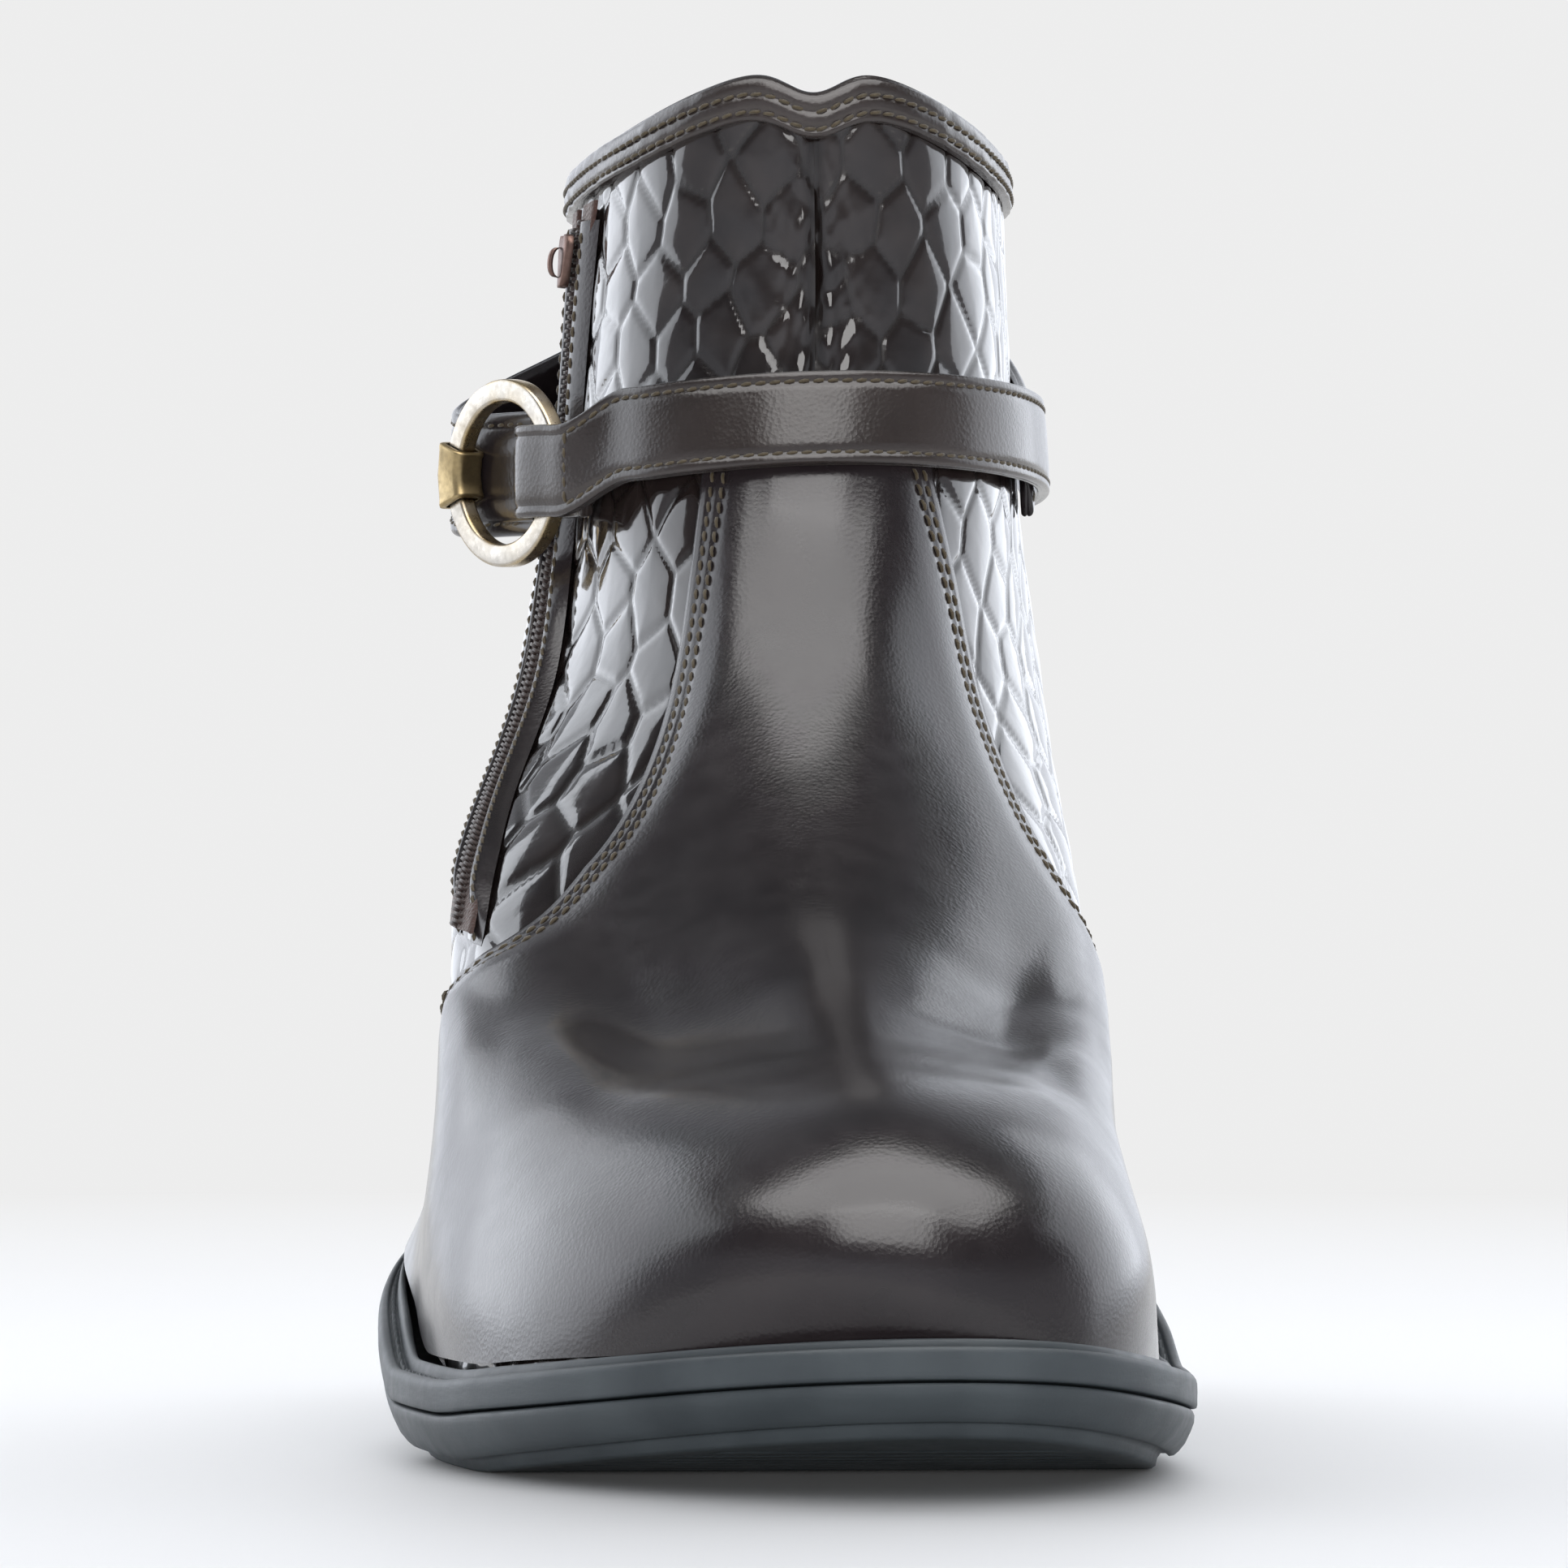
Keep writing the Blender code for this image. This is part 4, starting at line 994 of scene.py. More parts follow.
def soft_corners(low, high, half, soft, steps):
    """Middle, height, cosine and sine of each step round the softened corners of a flat section."""
    found = []
    for middle, out, start in ((low + soft, half - soft, 180), (high - soft, half - soft, 90),
                               (high - soft, soft - half, 0), (low + soft, soft - half, -90)):
        for angle in np.radians(np.linspace(start, start - 90, steps)):
            found.append((middle, out, math.cos(angle), math.sin(angle)))
    return np.array(found).T


def make_ring():
    """Flat ring with softened edges, its plating worn to brass at the rims."""
    low = RING_OUTER_RADIUS - RING_BAND
    soft = 0.0005
    middle, out, over, rise = soft_corners(low, RING_OUTER_RADIUS, RING_THICKNESS / 2, soft, 6)
    middle = middle + soft * over
    out = out + soft * rise
    turns = np.radians(np.arange(0, 360, 2.5))
    radius = middle[:, None] + 0.00006 * value_noise(turns * 3, 0 * turns, 61)
    grid = RING_MIDDLE + RUN * (radius * np.cos(turns))[..., None] + FACE * out[:, None, None]
    grid[..., 2] += radius * np.sin(turns)
    rim = np.clip(bell(middle - low, 0.0005) + bell(middle - RING_OUTER_RADIUS, 0.0004), 0, 1)[:, None]
    rim = np.clip(rim * (0.75 + 0.35 * value_noise(turns * 5, 0 * turns + 3, 62)), 0, 1)
    around = np.arange(len(grid) + 1) % len(grid)
    dress(sheet("metal_ring", grid[around], NICKEL, wrap=True, rim=rim[around]), "nickel", "ring")


# Along the clip in shares of its half angle, and its swell
CLIP_STEPS = ((0.0, 0.84), (0.75, 0.86), (0.88, 1.0), (0.97, 0.95), (1.0, 0.55), (1.0, 0.05))


def make_clip():
    """Brass sleeve round the far limb, its ends rolled and a little wider."""
    low = RING_OUTER_RADIUS - RING_BAND - FIT_GAP
    soft = 0.0004
    half_angle = math.asin(CLIP_HEIGHT / 2 / (RING_OUTER_RADIUS - RING_BAND / 2))
    middle, out, over, rise = soft_corners(
        low, RING_OUTER_RADIUS + FIT_GAP, RING_THICKNESS / 2 + FIT_GAP, soft, 5)
    rows = []
    for share, swell in [(-share, swell) for share, swell in CLIP_STEPS[:0:-1]] + list(CLIP_STEPS):
        reach = soft + CLIP_THICKNESS * swell
        radius = middle + over * reach
        row = RING_MIDDLE + RUN * (radius * math.cos(share * half_angle))[:, None]
        row = row + FACE * (out + rise * reach)[:, None]
        row[:, 2] = RING_MIDDLE[2] + radius * math.sin(share * half_angle)
        rows.append(row)
    dress(sheet("brass_clip", np.array(rows), BRASS, wrap=True, flip=True), "brass", "ring_clip")


# Section of a strap: share of the half width, and share of the thickness out from its inner face
STRAP_SECTION = (
    (0.0, 0.0), (-0.80, 0.0), (-0.955, 0.02), (-0.985, 0.12), (-1.0, 0.26), (-0.995, 0.38), (-0.975, 0.46),
    (-0.995, 0.54), (-1.0, 0.66), (-0.99, 0.80), (-0.965, 0.92), (-0.93, 0.985), (-0.88, 1.0), (-0.83, 0.995),
    (-0.78, 0.90), (-0.755, 0.86), (-0.73, 0.90), (-0.68, 1.0), (-0.55, 1.04), (-0.35, 1.07), (-0.15, 1.08),
)


STRAP_STEP = 0.0007


def between(share, lower, middle, upper):
    """Line at a share across a strap, on the parabola through its lower edge, middle and upper edge."""
    weights = (2 * (share - 0.5) * (share - 1), -4 * share * (share - 1), 2 * share * (share - 0.5))
    return weights[0] * lower + weights[1] * middle + weights[2] * upper


def strap_grid(lower, middle, upper, outward):
    """Rows round a strap's section, from the smooth lines of its lower edge, middle and upper edge."""
    section = list(STRAP_SECTION) + [(-across, out) for across, out in STRAP_SECTION[:0:-1]]
    rows = []
    dark_edges_and_groove_shade = []
    for across, out in section:
        rows.append(between(across / 2 + 0.5, lower, middle, upper) + outward * out * STRAP_THICKNESS)
        # Darker along the cut edges, and painted shade in the groove beside each edge
        cut = 0.9 if abs(across) > 0.972 and 0.1 < out < 0.85 else 0.0
        trough = 0.35 if 0.73 < abs(across) < 0.79 and out > 0.5 else 0.0
        dark_edges_and_groove_shade.append(np.full(len(middle), cut + trough))
    rows.append(rows[0])
    dark_edges_and_groove_shade.append(dark_edges_and_groove_shade[0])
    return np.array(rows), np.array(dark_edges_and_groove_shade)


def strap_piece(name, slot, node, route, width, material):
    """Strap lofted along a route, which gives the points of one line for a lift; returns the lines its
    stitches follow.
    """
    lines = [np.array(route(lift)) for lift in (-width / 2, 0.0, width / 2)]
    knots = lengths_along(lines[1])
    spots = np.linspace(0, knots[-1], int(knots[-1] / STRAP_STEP))
    lower, middle, upper = [curve(knots, line)(spots) for line in lines]
    run = unit(np.gradient(middle, axis=0))
    up = unit(upper - lower)
    outward = unit(np.cross(run, up))
    grid, dark_edges_and_groove_shade = strap_grid(lower, middle, upper, outward)
    ends = grid.mean(axis=0, keepdims=True).repeat(len(grid), 0)
    grid = np.concatenate([ends[:, :1], grid, ends[:, -1:]], axis=1)
    # The cut ends are darker too
    dark_edges_and_groove_shade = np.pad(dark_edges_and_groove_shade, ((0, 0), (1, 1)), constant_values=0.6)
    dress(sheet(name, grid, material, flip=True, crease=dark_edges_and_groove_shade), slot, node)
    return spots, lower, middle, upper, outward


def strap_stitches(lines, start, stop, inset, width):
    """Two rows of stitches along a strap between two distances."""
    spots, lower, middle, upper, outward = lines
    inside = (spots >= start) & (spots <= stop)
    share = inset / width
    found = []
    for at in (share, 1 - share):
        line = between(at, lower, middle, upper) + outward * (STRAP_THICKNESS * 0.90)
        found.append((line[inside], outward[inside]))
    return found


def make_front_strap():
    """Strap round the instep to the ring, folded back through it and sewn down."""
    turns = [turn for turn, _ in FRONT_STRAP_ROUTE]
    shares = curve([-turn for turn in turns], [share / 100 for _, share in FRONT_STRAP_ROUTE])
    inner_radius = RING_OUTER_RADIUS - RING_BAND
    bend_middle = FIT_GAP - math.sqrt(inner_radius ** 2 - (FRONT_STRAP_WIDTH / 2) ** 2)
    limb_edge = -RING_OUTER_RADIUS - FIT_GAP
    gap = RING_SINK

    def route(lift):
        around = np.linspace(turns[0], STRAP_LEAVES_SHAFT, 26)
        points = list(shaft_place(around, strap_height(shares(-around)) + lift, STRAP_STANDOFF)[0])
        height = strap_height(RING_HEIGHT) + lift
        for back in (limb_edge - 0.5 * STRAP_FOLD_LENGTH, limb_edge, bend_middle):
            points.append(by_ring(back, gap, height))
        for angle in (60, 30, 0, -30, -60):
            bend = math.radians(angle)
            points.append(by_ring(bend_middle + gap * math.cos(bend), gap * math.sin(bend), height))
        for back in (bend_middle, limb_edge):
            points.append(by_ring(back, -gap, height))
        for share in (0.35, 0.7, 1.0):
            close = -gap + (2 * gap - FIT_GAP) * float(eased(0.0, 1.0, share))
            points.append(by_ring(limb_edge - STRAP_FOLD_LENGTH * share, close, height))
        return points[::-1]

    lines = strap_piece(
        "front_strap_leather", "trim_leather", "front_strap", route, FRONT_STRAP_WIDTH, TRIM_LEATHER)
    spots, lower, middle, upper, outward = lines
    fold = np.linalg.norm(middle - by_ring(limb_edge - 0.0035, gap, strap_height(RING_HEIGHT)), axis=-1)
    outer_side = (middle - RING_MIDDLE) @ FACE > 0
    seam_at = int(np.where(outer_side, fold, 1.0).argmin())
    paths = strap_stitches(lines, spots[seam_at], spots[-1] - 0.0015, 0.0014, FRONT_STRAP_WIDTH)
    share = np.linspace(0.0014, FRONT_STRAP_WIDTH - 0.0014, 40)[:, None] / FRONT_STRAP_WIDTH
    cross_row = lower[seam_at] + (upper[seam_at] - lower[seam_at]) * share
    cross_row = cross_row + outward[seam_at] * STRAP_THICKNESS * 1.02
    paths.append((cross_row, np.repeat(outward[seam_at][None], 40, axis=0)))
    stitch_piece("front_strap_stitching", paths, "trim_leather", pitch=0.0019)


def make_rear_strap():
    """Wider strap from behind the ring round the back of the shaft."""
    behind = -(RING_THICKNESS / 2 + 2 * FIT_GAP + CLIP_THICKNESS + STRAP_THICKNESS)
    turns = [-turn for turn, _ in REAR_STRAP_ROUTE]
    shares = curve(turns, [share / 100 for _, share in REAR_STRAP_ROUTE])

    def route(lift):
        height = strap_height(RING_HEIGHT) + lift
        points = [by_ring(back * RING_OUTER_RADIUS, behind, height) for back in (-0.15, 0.45, 1.1)]
        around = np.linspace(turns[0], turns[-1], 20)
        points += list(shaft_place(-around, strap_height(shares(around)) + lift, 1.5 * FIT_GAP)[0])
        return points[::-1]

    lines = strap_piece(
        "rear_strap_leather", "calf_leather", "rear_strap", route, REAR_STRAP_WIDTH, VAMP_LEATHER)
    spots = lines[0]
    paths = strap_stitches(lines, 0.0015, spots[-1] - 0.0015, 0.0016, REAR_STRAP_WIDTH)
    stitch_piece("rear_strap_stitching", paths, "calf_leather")


make_ring()
make_clip()
make_front_strap()
make_rear_strap()


# Side zip: two tapes that part above the slider, their coils, and the slider

ZIP_OPENING = 0.0016        # how far each tape's edge has drawn back at the top
TOOTH_PITCH = 0.00125
HEM_START = 0.0028          # from the zip's middle to the folded edge of the quarters
# Across the hem from its fold, and out from the upper
HEM_PROFILE = (
    (0.0, 0.0009), (0.0001, 0.0015), (0.0004, 0.0018), (0.0009, 0.0019), (0.0016, 0.0018),
    (0.0024, 0.0015), (0.0034, 0.0010), (0.0046, 0.0003),
)
# Rings along a tooth: reach over the zip's middle and share of its height
TOOTH_RINGS = (
    (-0.00125, 0.25), (-0.0011, 0.75), (-0.0004, 1.0), (0.0008, 1.0), (0.0011, 0.7), (0.0012, 0.2),
)
TOOTH_CORNERS = ((-0.00026, 0.0), (-0.0002, 0.9), (0.0002, 0.9), (0.00026, 0.0))


def zip_frame(levels):
    """Middle line of the zip, its outward direction and the way across it to the toe side."""
    turns = ZIP_LINE(levels)
    line = upper_point(turns, levels)
    normals = upper_normal(turns, levels)
    across = unit(upper_point(turns + 1, levels) - upper_point(turns - 1, levels))
    return line, normals, across


def zip_grid(levels, across_spots, outs, opening):
    """Surface over the zip from distances across it; each level follows the upper's skin."""
    turns = ZIP_LINE(levels)
    run = np.linalg.norm(upper_point(turns + 1, levels) - upper_point(turns - 1, levels), axis=-1) / 2
    rows = []
    for spot, out in zip(across_spots, outs):
        shift = spot + np.sign(spot) * opening
        rows.append(upper_skin(turns + shift / run, levels, out + 0 * levels))
    return np.stack(rows, axis=1)


def make_zip():
    """Tapes, folded hems, teeth and slider."""
    levels = fill(ZIP_BOTTOM_LEVEL, ZIP_TOP_LEVEL, 0.02)
    opening = ZIP_OPENING * eased(SLIDER_LEVEL, ZIP_TOP_LEVEL, levels)
    half = TAPE_WIDTH / 2
    low = TAPE_GAP
    high = TAPE_GAP + TAPE_THICKNESS
    for name, side in (("zip_tape_front", 1), ("zip_tape_back", -1)):
        spots = [0.00015, 0.00015, 0.0005, 0.0015, 0.0026, half - 0.0012, half - 0.0002, half]
        outs = (low, high, high + 0.00015, high, high, high, high - 0.0001, low)
        grid = zip_grid(levels, side * np.array(spots), outs, opening)
        dress(sheet(name, grid, TAPE, flip=side < 0), "zip_fabric", "zip_tape")
    # Folded hems of the leather that frame the tape, with a row of stitches in each
    levels = fill(ZIP_BOTTOM_LEVEL - 0.05, 6.80, 0.02)
    standing = eased(ZIP_BOTTOM_LEVEL - 0.05, ZIP_BOTTOM_LEVEL + 0.35, levels)
    paths = []
    for name, side in (("zip_hem_front", 1), ("zip_hem_back", -1)):
        spots = [side * (HEM_START + spot) for spot, _ in HEM_PROFILE]
        grid = zip_grid(levels, spots, [out * standing for _, out in HEM_PROFILE], 0.0)
        crease = np.zeros(grid.shape[:2])
        dress(sheet(name, grid, VAMP_LEATHER, flip=side < 0, crease=crease), "calf_leather")
        line = zip_grid(levels, [side * (HEM_START + 0.0015)], [0.00185 * standing], 0.0)[:, 0]
        paths.append((line, upper_normal(ZIP_LINE(levels), levels)))
    stitch_piece("zip_stitching", paths, "calf_leather")
    make_coil()
    make_slider()


def make_coil():
    """Teeth of both halves, meshed below the slider and parted above it."""
    levels = fill(ZIP_BOTTOM_LEVEL, ZIP_TOP_LEVEL - 0.04, 0.01)
    line, normals, across = zip_frame(levels)
    knots = lengths_along(line)
    spots = np.arange(0.0006, knots[-1], TOOTH_PITCH / 2)
    sides = np.where(np.arange(len(spots)) % 2, 1, -1)
    up = unit(at_lengths(spots, knots, normals))
    over = unit(at_lengths(spots, knots, across))
    run = unit(np.cross(over, up))
    over = over * sides[:, None]
    parted = ZIP_OPENING * eased(SLIDER_LEVEL, ZIP_TOP_LEVEL, np.interp(spots, knots, levels))
    middle = at_lengths(spots, knots, line) + over * (0.0007 + parted)[:, None]
    reach, high = np.array(TOOTH_RINGS).T[:, :, None, None]
    edge, lift = np.array(TOOTH_CORNERS).T[:, :, None]
    out = TAPE_GAP + TAPE_THICKNESS + COIL_THICKNESS * lift * high
    middle, over, run, up = [part[:, None, None] for part in (middle, over, run, up)]
    points = middle + over * reach + run * edge + up * out
    sides_of_tooth = grid_faces(len(TOOTH_RINGS), len(TOOTH_CORNERS), False)
    ends = [[0, 1, 2, 3], [20, 21, 22, 23]]
    faces = []
    for number, side in enumerate(sides):
        faces += (np.concatenate([sides_of_tooth[:, ::side], ends]) + 24 * number).tolist()
    dress(add_mesh("zip_teeth", points, faces, ZIP_PLASTIC), "zip_plastic", "zip_coil")


# Along the slider and its width there, then across it and its height
SLIDER_STEPS = (
    (-1.0, 0.30), (-0.93, 0.46), (-0.7, 0.60), (-0.2, 0.74), (0.25, 0.94), (0.6, 1.0), (0.88, 0.92),
    (1.0, 0.70),

)
SLIDER_SECTION = (
    (-1.0, -0.2), (-1.04, 0.15), (-0.9, 0.50), (-0.55, 0.62), (0.0, 0.66), (0.55, 0.62), (0.9, 0.50),
    (1.04, 0.15), (1.0, -0.2),
)


def make_slider():
    """Slider body: wide and parted at its upper end, narrow below, with a bridge on top."""
    line, normals, across = zip_frame(np.array([SLIDER_LEVEL - 0.02, SLIDER_LEVEL, SLIDER_LEVEL + 0.02]))
    middle = line[1]
    up = normals[1]
    run = unit(line[2] - line[0])
    over = unit(np.cross(up, run))
    if over @ across[1] < 0:
        over = -over
    base = TAPE_GAP + TAPE_THICKNESS + COIL_THICKNESS + 2 * FIT_GAP
    length = SLIDER_LENGTH / 2
    rows = []
    for share, wide in SLIDER_STEPS:
        row = []
        for side, lift in SLIDER_SECTION:
            notch = 0.55 * bell(side, 0.35) * float(eased(0.7, 1.0, share))
            out = base + SLIDER_THICKNESS * 0.55 * (lift - notch * 0.6)
            row.append(middle + run * share * length + over * side * wide * SLIDER_WIDTH / 2 + up * out)
        rows.append(row)
    grid = np.array(rows)
    ends = grid.mean(axis=1, keepdims=True).repeat(len(SLIDER_SECTION), 1) - up * 0.0006
    closed = np.concatenate([ends[:1], grid, ends[-1:]])
    dress(sheet("slider_body", closed, COPPER), "brass", "zip_slider")
    bridge = []
    for angle in np.linspace(0, math.pi, 12):
        reach = 0.0020 * math.cos(angle)
        rise = base + SLIDER_THICKNESS * (0.30 + 0.55 * math.sin(angle) ** 0.6)
        centre = middle + run * (reach - 0.0002) + up * rise
        ring = []
        for bend in np.linspace(0, 2 * math.pi, 8, endpoint=False):
            ring.append(centre + over * 0.0007 * math.cos(bend) + up * 0.00038 * math.sin(bend))
        bridge.append(ring)
    dress(sheet("slider_bridge", np.array(bridge), COPPER, wrap=True), "brass", "zip_slider")


make_zip()


# Sole: welt, outsole and heel

ROPE_PITCH = 0.0026
ROPE_HEIGHT = 0.00085


def make_welt():
    """Welt with its rounded rim, the rope of stitches in its groove and the rolled lip."""
    turns = np.linspace(0, 360, 1000, endpoint=False)
    section = [
        (1.0, "under", 0.0), (0.30, "under", 0.0), (0.10, "under", 0.00002),
        (0.025, "under", 0.00015), (0.0, "under", 0.0005), (0.0, "under", 0.0012),
        (-0.004, "under", 0.0020), (0.0, "ledge", -0.0013), (0.004, "ledge", -0.0009),
        (0.030, "ledge", -0.0005), (0.085, "ledge", -0.00015), (0.16, "ledge", 0.0),
        (0.24, "ledge", 0.00004), (0.30, "ledge", -0.00005), (0.335, "ledge", -0.00045),
        (0.36, "ledge", -0.00085), (0.40, "rope", 0.55), (0.44, "rope", 0.9), (0.48, "rope", 1.0),
        (0.52, "rope", 0.9), (0.56, "rope", 0.55), (0.60, "ledge", -0.00085),
        (0.625, "ledge", -0.0004), (0.65, "ledge", 0.0003), (0.69, "ledge", 0.00085),
        (0.74, "ledge", 0.00115), (0.80, "ledge", 0.00120), (0.87, "ledge", 0.00105),
        (0.93, "ledge", 0.00055), (0.975, "ledge", 0.0), (1.0, "ledge", -SEAT_DEPTH),

    ]
    around = lengths_along(np.concatenate([outline(turns), outline(turns[:1])]))[:-1]
    around = around * (round(around[-1] / ROPE_PITCH) * ROPE_PITCH / around[-1])
    rows = []
    for share, base, lift in section:
        edge = inset_outline(turns, share * ledge_width(outline(turns)[:, 1]))
        height = welt_bottom(edge[:, 1]) if base == "under" else ledge(edge[:, 1])
        if base == "rope":
            slant = (share - 0.48) * 0.55 * LEDGE_WIDTH / 0.16
            strand = np.abs(np.cos(math.pi * (around + slant) / ROPE_PITCH)) ** 0.6
            height = height - GROOVE_DEPTH + lift * ROPE_HEIGHT * (1.15 * strand - 0.05)
        else:
            height = height + lift
        rows.append(place(edge[:, 0], edge[:, 1], height))
    dress(sheet("welt_rubber", np.array(rows), RUBBER, wrap=True), "sole_rubber", "welt")


def tread_depth(along):
    """Depth of the tread platform, which ends before the waist."""
    return TREAD_HEIGHT * (1 - eased(WAIST_START - 0.05, WAIST_START, share_along(along)))


TREAD_RIB_PITCH = 0.0042
TREAD_RIB_DEPTH = 0.0006


def make_outsole():
    """Outsole with the step of its edge, the tread platform with a groove round it, and ribs under it."""
    turns = np.linspace(0, 360, 480, endpoint=False)
    platform = SOLE_TAPER + 4 * EDGE_ROUND
    groove = 0.00035 / TREAD_HEIGHT
    # Inset, share of the way up to the outsole's top, lift, and share of the tread's depth
    section = (
        (platform + 0.0018, 0.0, 0.0, -1.0), (platform + 0.0007, 0.0, 0.0, -0.97),
        (platform + 0.0002, 0.0, 0.0, -0.75), (platform, 0.0, 0.0, -0.15),
        (platform - 0.0004, 0.0, 0.0, groove), (platform - 0.0010, 0.0, 0.0, groove),
        (platform - 0.0014, 0.0, 0.0, 0.0), (SOLE_TAPER + 0.0004, 0.0, 0.0001, 0.0),
        (SOLE_TAPER * 0.92, 0.0, 0.0006, 0.0), (SOLE_TAPER * 0.62, 0.28, 0.0, 0.0),
        (0.0008, 0.55, 0.0, 0.0), (0.0004, 1.0, -0.0013, 0.0), (0.00035, 1.0, -0.0005, 0.0),
        (0.0005, 1.0, -0.00012, 0.0), (0.0009, 1.0, 0.0, 0.0), (2 * EDGE_ROUND, 1.0, 0.0, 0.0),

    )
    rows = []
    for inset, share, lift, tread in section:
        edge = inset_outline(turns, np.full(len(turns), inset))
        along = edge[:, 1]
        height = underside(along) + share * (outsole_top(along) - underside(along))
        rows.append(place(edge[:, 0], along, height + lift + tread * tread_depth(along)))
    grid = np.array(rows)
    dress(sheet("outsole_edge", grid, OUTSOLE_RUBBER, wrap=True), "sole_rubber", "outsole")
    # Underside across the width, with transverse ribs inside the platform
    count = 420
    ahead = np.linspace(0.6, 179.4, count)
    inner = inset_outline(ahead, np.full(count, platform + 0.0017))
    outer = inset_outline(360 - ahead, np.full(count, platform + 0.0017))
    share = np.linspace(0, 1, 60)[:, None, None]
    plan = outer[None] * (1 - share) + inner[None] * share
    height = underside(plan[..., 1]) - tread_depth(plan[..., 1])
    from_edge = np.minimum(share[..., 0], 1 - share[..., 0]) * np.linalg.norm(inner - outer, axis=-1)
    rib = np.clip(np.cos(2 * math.pi * plan[..., 1] / TREAD_RIB_PITCH) * 2.5 - 1.0, 0, 1)
    inside = eased(0.0035, 0.0042, from_edge) * eased(0.012, 0.02, plan[..., 1])
    inside = inside * (1 - eased(0.086, 0.088, plan[..., 1]))
    height = height + TREAD_RIB_DEPTH * rib * inside
    bottom = place(plan[..., 0], plan[..., 1], height)
    dress(sheet("outsole_tread", bottom, OUTSOLE_RUBBER, flip=True), "sole_rubber", "outsole")


HEEL_COLUMNS = 220


def heel_grid(section):
    """Rows round the heel: from the breast's inner corner round the back, and straight across the front."""
    start = math.degrees(math.acos(1 - 2 * HEEL_BREAST))
    turns = np.linspace(start, 360 - start, HEEL_COLUMNS)
    rows = []
    for inset, height in section:
        edge = inset_outline(turns, np.full(HEEL_COLUMNS, inset))
        up = height(edge[:, 1]) if callable(height) else np.full(HEEL_COLUMNS, height)
        row = place(edge[:, 0], edge[:, 1], up)
        share = np.linspace(0, 1, 42)[1:-1, None]
        front = row[-1] * (1 - share) + row[0] * share
        front[:, 1] += 0.0012 * np.sin(math.pi * share[:, 0])
        rows.append(np.concatenate([row, front]))
    return np.array(rows)


def heel_inset(height):
    """How far in the tapered heel stands from the outsole's edge."""
    return HEEL_INSET + HEEL_TAPER * (1 - height / HEEL_HEIGHT)


def make_heel():
    """Heel block with faint stacked lines, and its top piece."""
    bottom = HEEL_TIP_THICKNESS + FIT_GAP
    block = [
        (0.020, bottom), (heel_inset(bottom) + 0.0006, bottom),
        (heel_inset(bottom) + 0.0001, bottom + 0.0002),
    ]
    for height in np.arange(bottom + 0.0006, HEEL_HEIGHT - 0.0012, 0.0004):
        layer = 0.00018 * float(bell((height - bottom) % 0.0042 - 0.0021, 0.0004))
        block.append((heel_inset(height) + layer, float(height)))
    block.append((heel_inset(HEEL_HEIGHT), lambda along: underside(along) - FIT_GAP - 0.0006))
    block.append((heel_inset(HEEL_HEIGHT) + 0.0006, lambda along: underside(along) - FIT_GAP))
    block.append((0.020, lambda along: underside(along) - FIT_GAP))
    dress(sheet("heel_block", heel_grid(block), HEEL_RUBBER, wrap=True), "heel_rubber", "heel")
    top = HEEL_TIP_THICKNESS
    tip = [(0.020, 0.0), (heel_inset(0.0) + 0.0009, 0.0), (heel_inset(0.0) + 0.0003, 0.00012),
           (heel_inset(0.0), 0.0006)]
    tip += [(heel_inset(height), float(height)) for height in np.linspace(0.0012, top - 0.0008, 8)]
    tip += [(heel_inset(top), top - 0.0004), (heel_inset(top) + 0.0004, top), (0.020, top)]
    dress(sheet("heel_top_piece", heel_grid(tip), OUTSOLE_RUBBER, wrap=True), "sole_rubber", "heel_tip")


make_welt()
make_outsole()
make_heel()


# Materials of the solids that show as they are

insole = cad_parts["insole"].data
insole.materials.clear()
insole.materials.append(LINING_LEATHER)


# Stage, light and camera

BACKDROP = (0.85, 0.85, 0.85)       # surroundings behind the boot, as the camera sees them
FLOOR_RADIUS = 8.0
FLOOR_SIDES = 96
SKY_TINT = (0.97, 0.99, 1.03)


def make_floor():
    """Pale floor that fades into the surroundings away from the boot."""
    turns = [2 * math.pi * i / FLOOR_SIDES for i in range(FLOOR_SIDES)]
    points = [(FLOOR_RADIUS * math.cos(turn), FLOOR_RADIUS * math.sin(turn), 0.0) for turn in turns]
    mesh = bpy.data.meshes.new("floor")
    mesh.from_pydata(points, [], [range(FLOOR_SIDES)])
    nodes = Nodes("pale_floor")
    tone = nodes.ramp(nodes.noise(0.4), 0.3, 0.7, BACKDROP[0] - 0.01, BACKDROP[0] + 0.01)
    nodes.finish(Base_Color=tone, Roughness=0.7, Specular_IOR_Level=0.05)
    glow = nodes.add("ShaderNodeEmission", {"Color": BACKDROP})
    far = nodes.add("ShaderNodeVectorMath", {0: nodes.place}, operation="LENGTH")
    fade = nodes.ramp(far.outputs["Value"], 0.22, 0.75)
    surface = nodes.tree.nodes["Principled BSDF"].outputs[0]
    blend = nodes.add("ShaderNodeMixShader", {0: fade, 1: surface, 2: glow.outputs[0]})
    nodes.feed(nodes.tree.nodes["Material Output"].inputs["Surface"], blend.outputs[0])
    mesh.materials.append(nodes.owner)
    link(bpy.data.objects.new("floor", mesh))


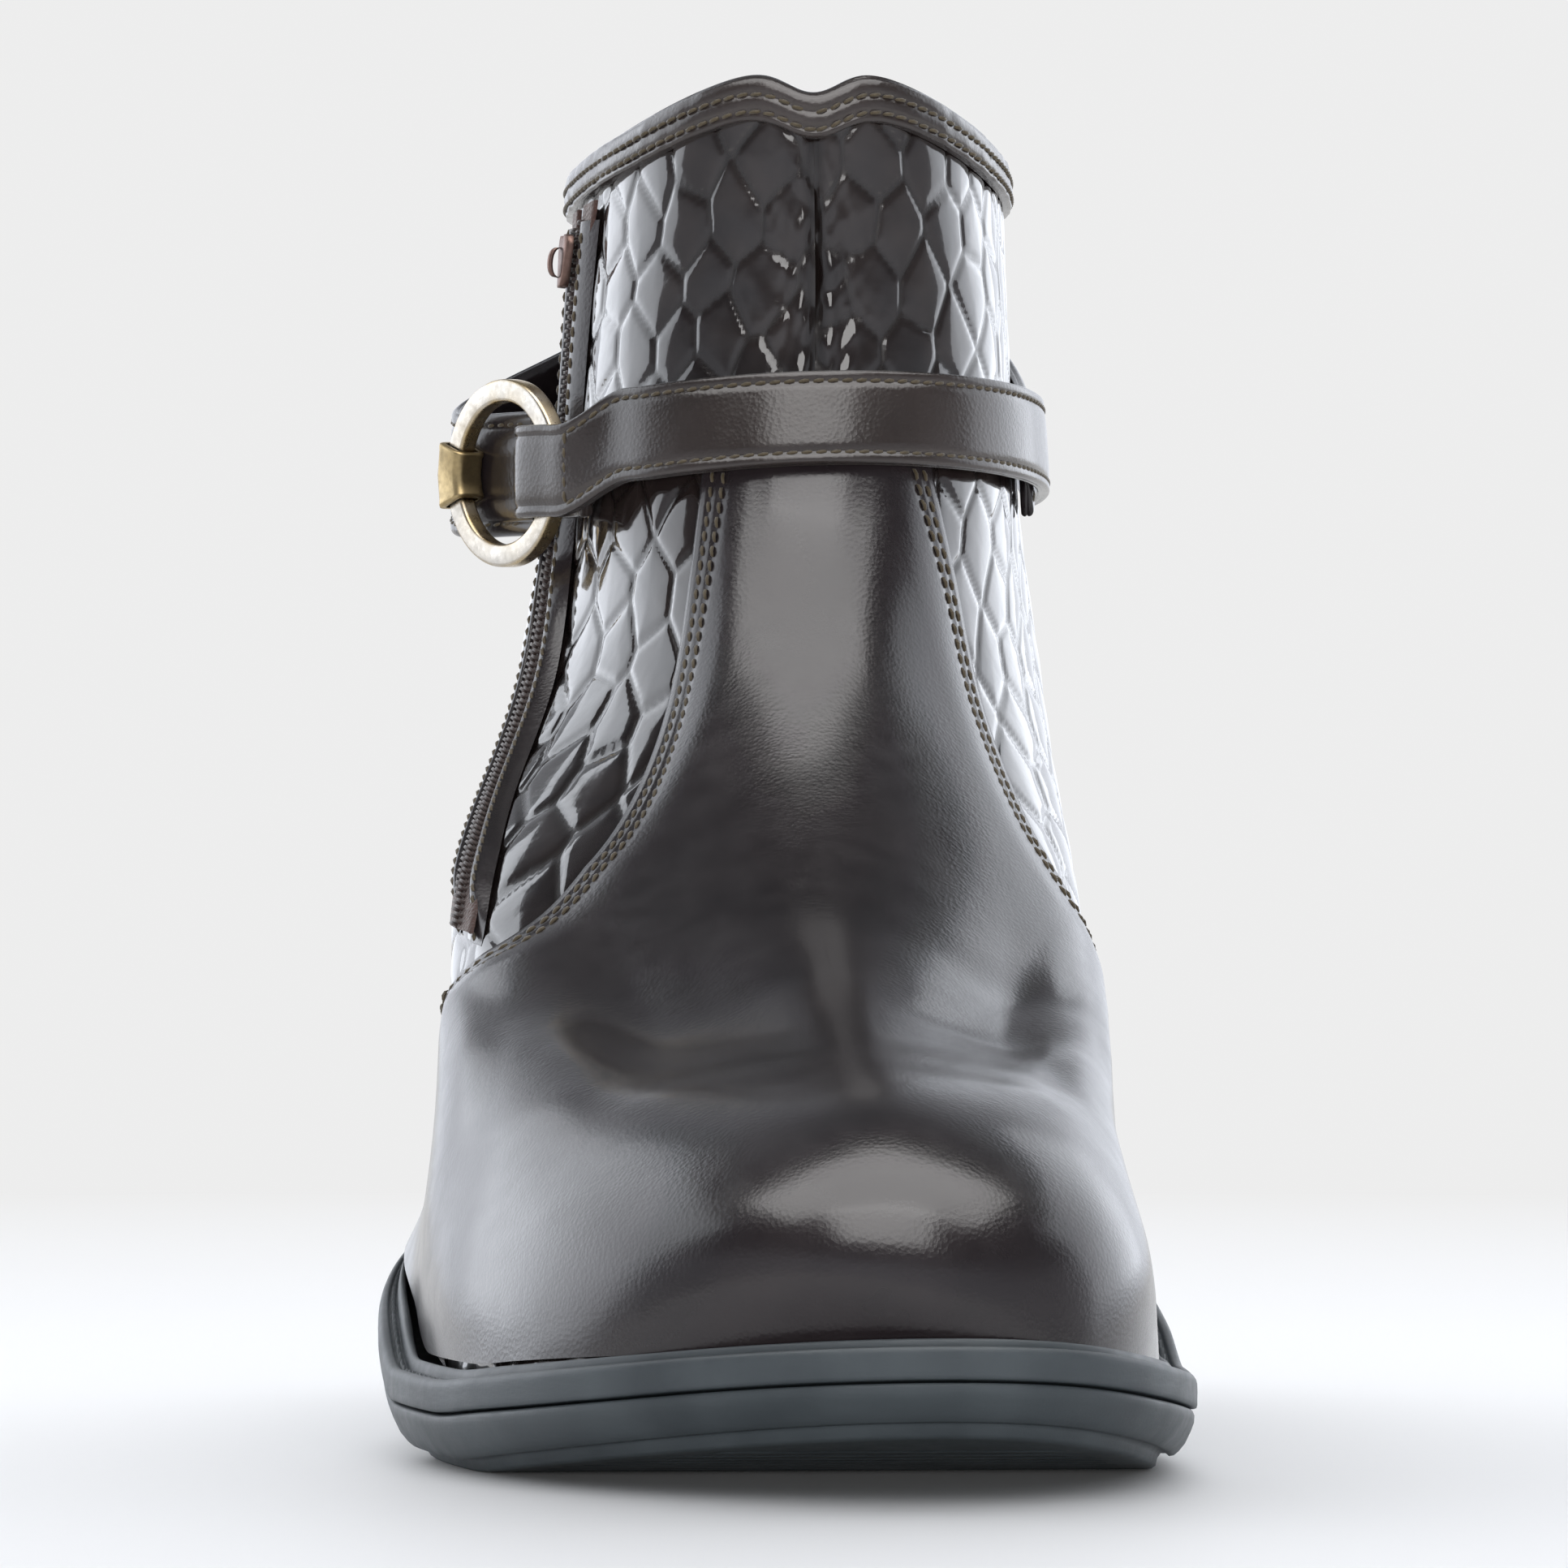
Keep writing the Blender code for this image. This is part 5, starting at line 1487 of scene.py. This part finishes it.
class WorldNodes(Nodes):
    """Studio surroundings, built from the direction that is looked in."""

    def __init__(self):
        super().__init__("studio", bpy.data.worlds)
        self.ways = self.add("ShaderNodeSeparateXYZ", {0: self.coords["Generated"]}).outputs
        self.path = self.add("ShaderNodeLightPath").outputs

    def sky(self, way, *stops):
        """Brightness by one part of the direction, from -1 to 1."""
        node = self.add("ShaderNodeValToRGB", {"Fac": self.ramp(self.ways[way], -1.0, 1.0)})
        node.color_ramp.interpolation = "EASE"
        elements = node.color_ramp.elements
        elements[0].position = (stops[0][0] + 1) / 2
        elements[1].position = (stops[-1][0] + 1) / 2
        for at, _ in stops[1:-1]:
            elements.new((at + 1) / 2)
        for element, (_, tone) in zip(elements, stops):
            element.color = (*darker(SKY_TINT, tone), 1.0)
        return node.outputs["Color"]

    def glow(self, colour):
        return self.add("ShaderNodeBackground", {"Color": colour}).outputs[0]

    def choose(self, ray, otherwise, chosen):
        return self.add("ShaderNodeMixShader", {0: self.path[ray], 1: otherwise, 2: chosen}).outputs[0]


def make_world():
    """Bright behind and low down, dark overhead and on the camera's side; the camera sees it plain."""
    world = WorldNodes()
    height = world.sky("Z", (0.0, 1.0), (0.24, 1.0), (0.50, 0.28), (0.75, 0.10))
    depth = world.sky("Y", (-1.0, 0.60), (0.0, 0.40), (0.38, 0.70), (0.74, 1.25))
    mirrored = world.glow(world.mix(1.0, height, depth, "MULTIPLY"))
    soft = world.glow(world.sky("Y", (-1.0, 0.05), (0.1, 0.2), (0.55, 1.2), (0.72, 4.2), (1.0, 7.2)))
    lit = world.choose("Is Glossy Ray", soft, mirrored)
    seen = world.choose("Is Camera Ray", lit, world.glow(BACKDROP))
    world.feed(world.tree.nodes["World Output"].inputs["Surface"], seen)
    bpy.context.scene.world = world.owner


def softbox(name, spot, aim, width, height, power, colour):
    """Rectangular soft light turned to a point, which shows in the gloss alone."""
    light = bpy.data.lights.new(name, "AREA")
    light.shape = "RECTANGLE"
    light.size = width
    light.size_y = height
    light.energy = power
    light.color = colour
    item = link(bpy.data.objects.new(name, light))
    item.location = spot
    item.visible_diffuse = False
    across, ahead, rise = np.array(aim) - np.array(spot)
    item.rotation_euler = (math.atan2(math.hypot(across, ahead), -rise), 0.0, math.atan2(-across, ahead))
    return item


COOL = (0.90, 0.94, 1.0)
WARM = (1.0, 0.99, 0.985)
BOOT_MIDDLE = (0.0, -0.02, 0.06)
make_floor()
make_world()
softbox("overhead", (0.02, -0.16, 0.95), (0.02, -0.15, 0.0), 1.45, 0.62, 9.0, WARM)
softbox("front_above", (0.03, -0.72, 0.90), (0.03, -0.40, 0.05), 0.80, 0.60, 5.4, WARM)
front_fill = softbox("front_fill", (0.0, -2.3, 0.22), (0.0, 0.0, 0.06), 1.6, 0.3, 22.0, WARM)
front_fill.visible_diffuse = True
front_fill.visible_glossy = False
softbox("left_side", (-1.0, 0.62, 0.54), BOOT_MIDDLE, 1.2, 1.0, 6.0, COOL)
softbox("right_side", (1.0, 0.66, 0.50), BOOT_MIDDLE, 1.2, 0.9, 4.4, COOL)

CAMERA_PLACE = (-0.0871, -1.3031, 0.082)
CAMERA_TURN = math.radians(-4.0)
SENSOR_WIDTH = 36.0
FOCAL_SHARE = 12600 / 1932          # focal length over the width of the picture
camera_data = bpy.data.cameras.new("camera")
camera_data.sensor_width = SENSOR_WIDTH
camera_data.lens = SENSOR_WIDTH * FOCAL_SHARE
camera_data.clip_end = 50.0
camera = link(bpy.data.objects.new("camera", camera_data))
camera.location = CAMERA_PLACE
camera.rotation_euler = (math.pi / 2, 0.0, CAMERA_TURN)
bpy.context.scene.camera = camera
bpy.context.scene.view_settings.view_transform = "Standard"
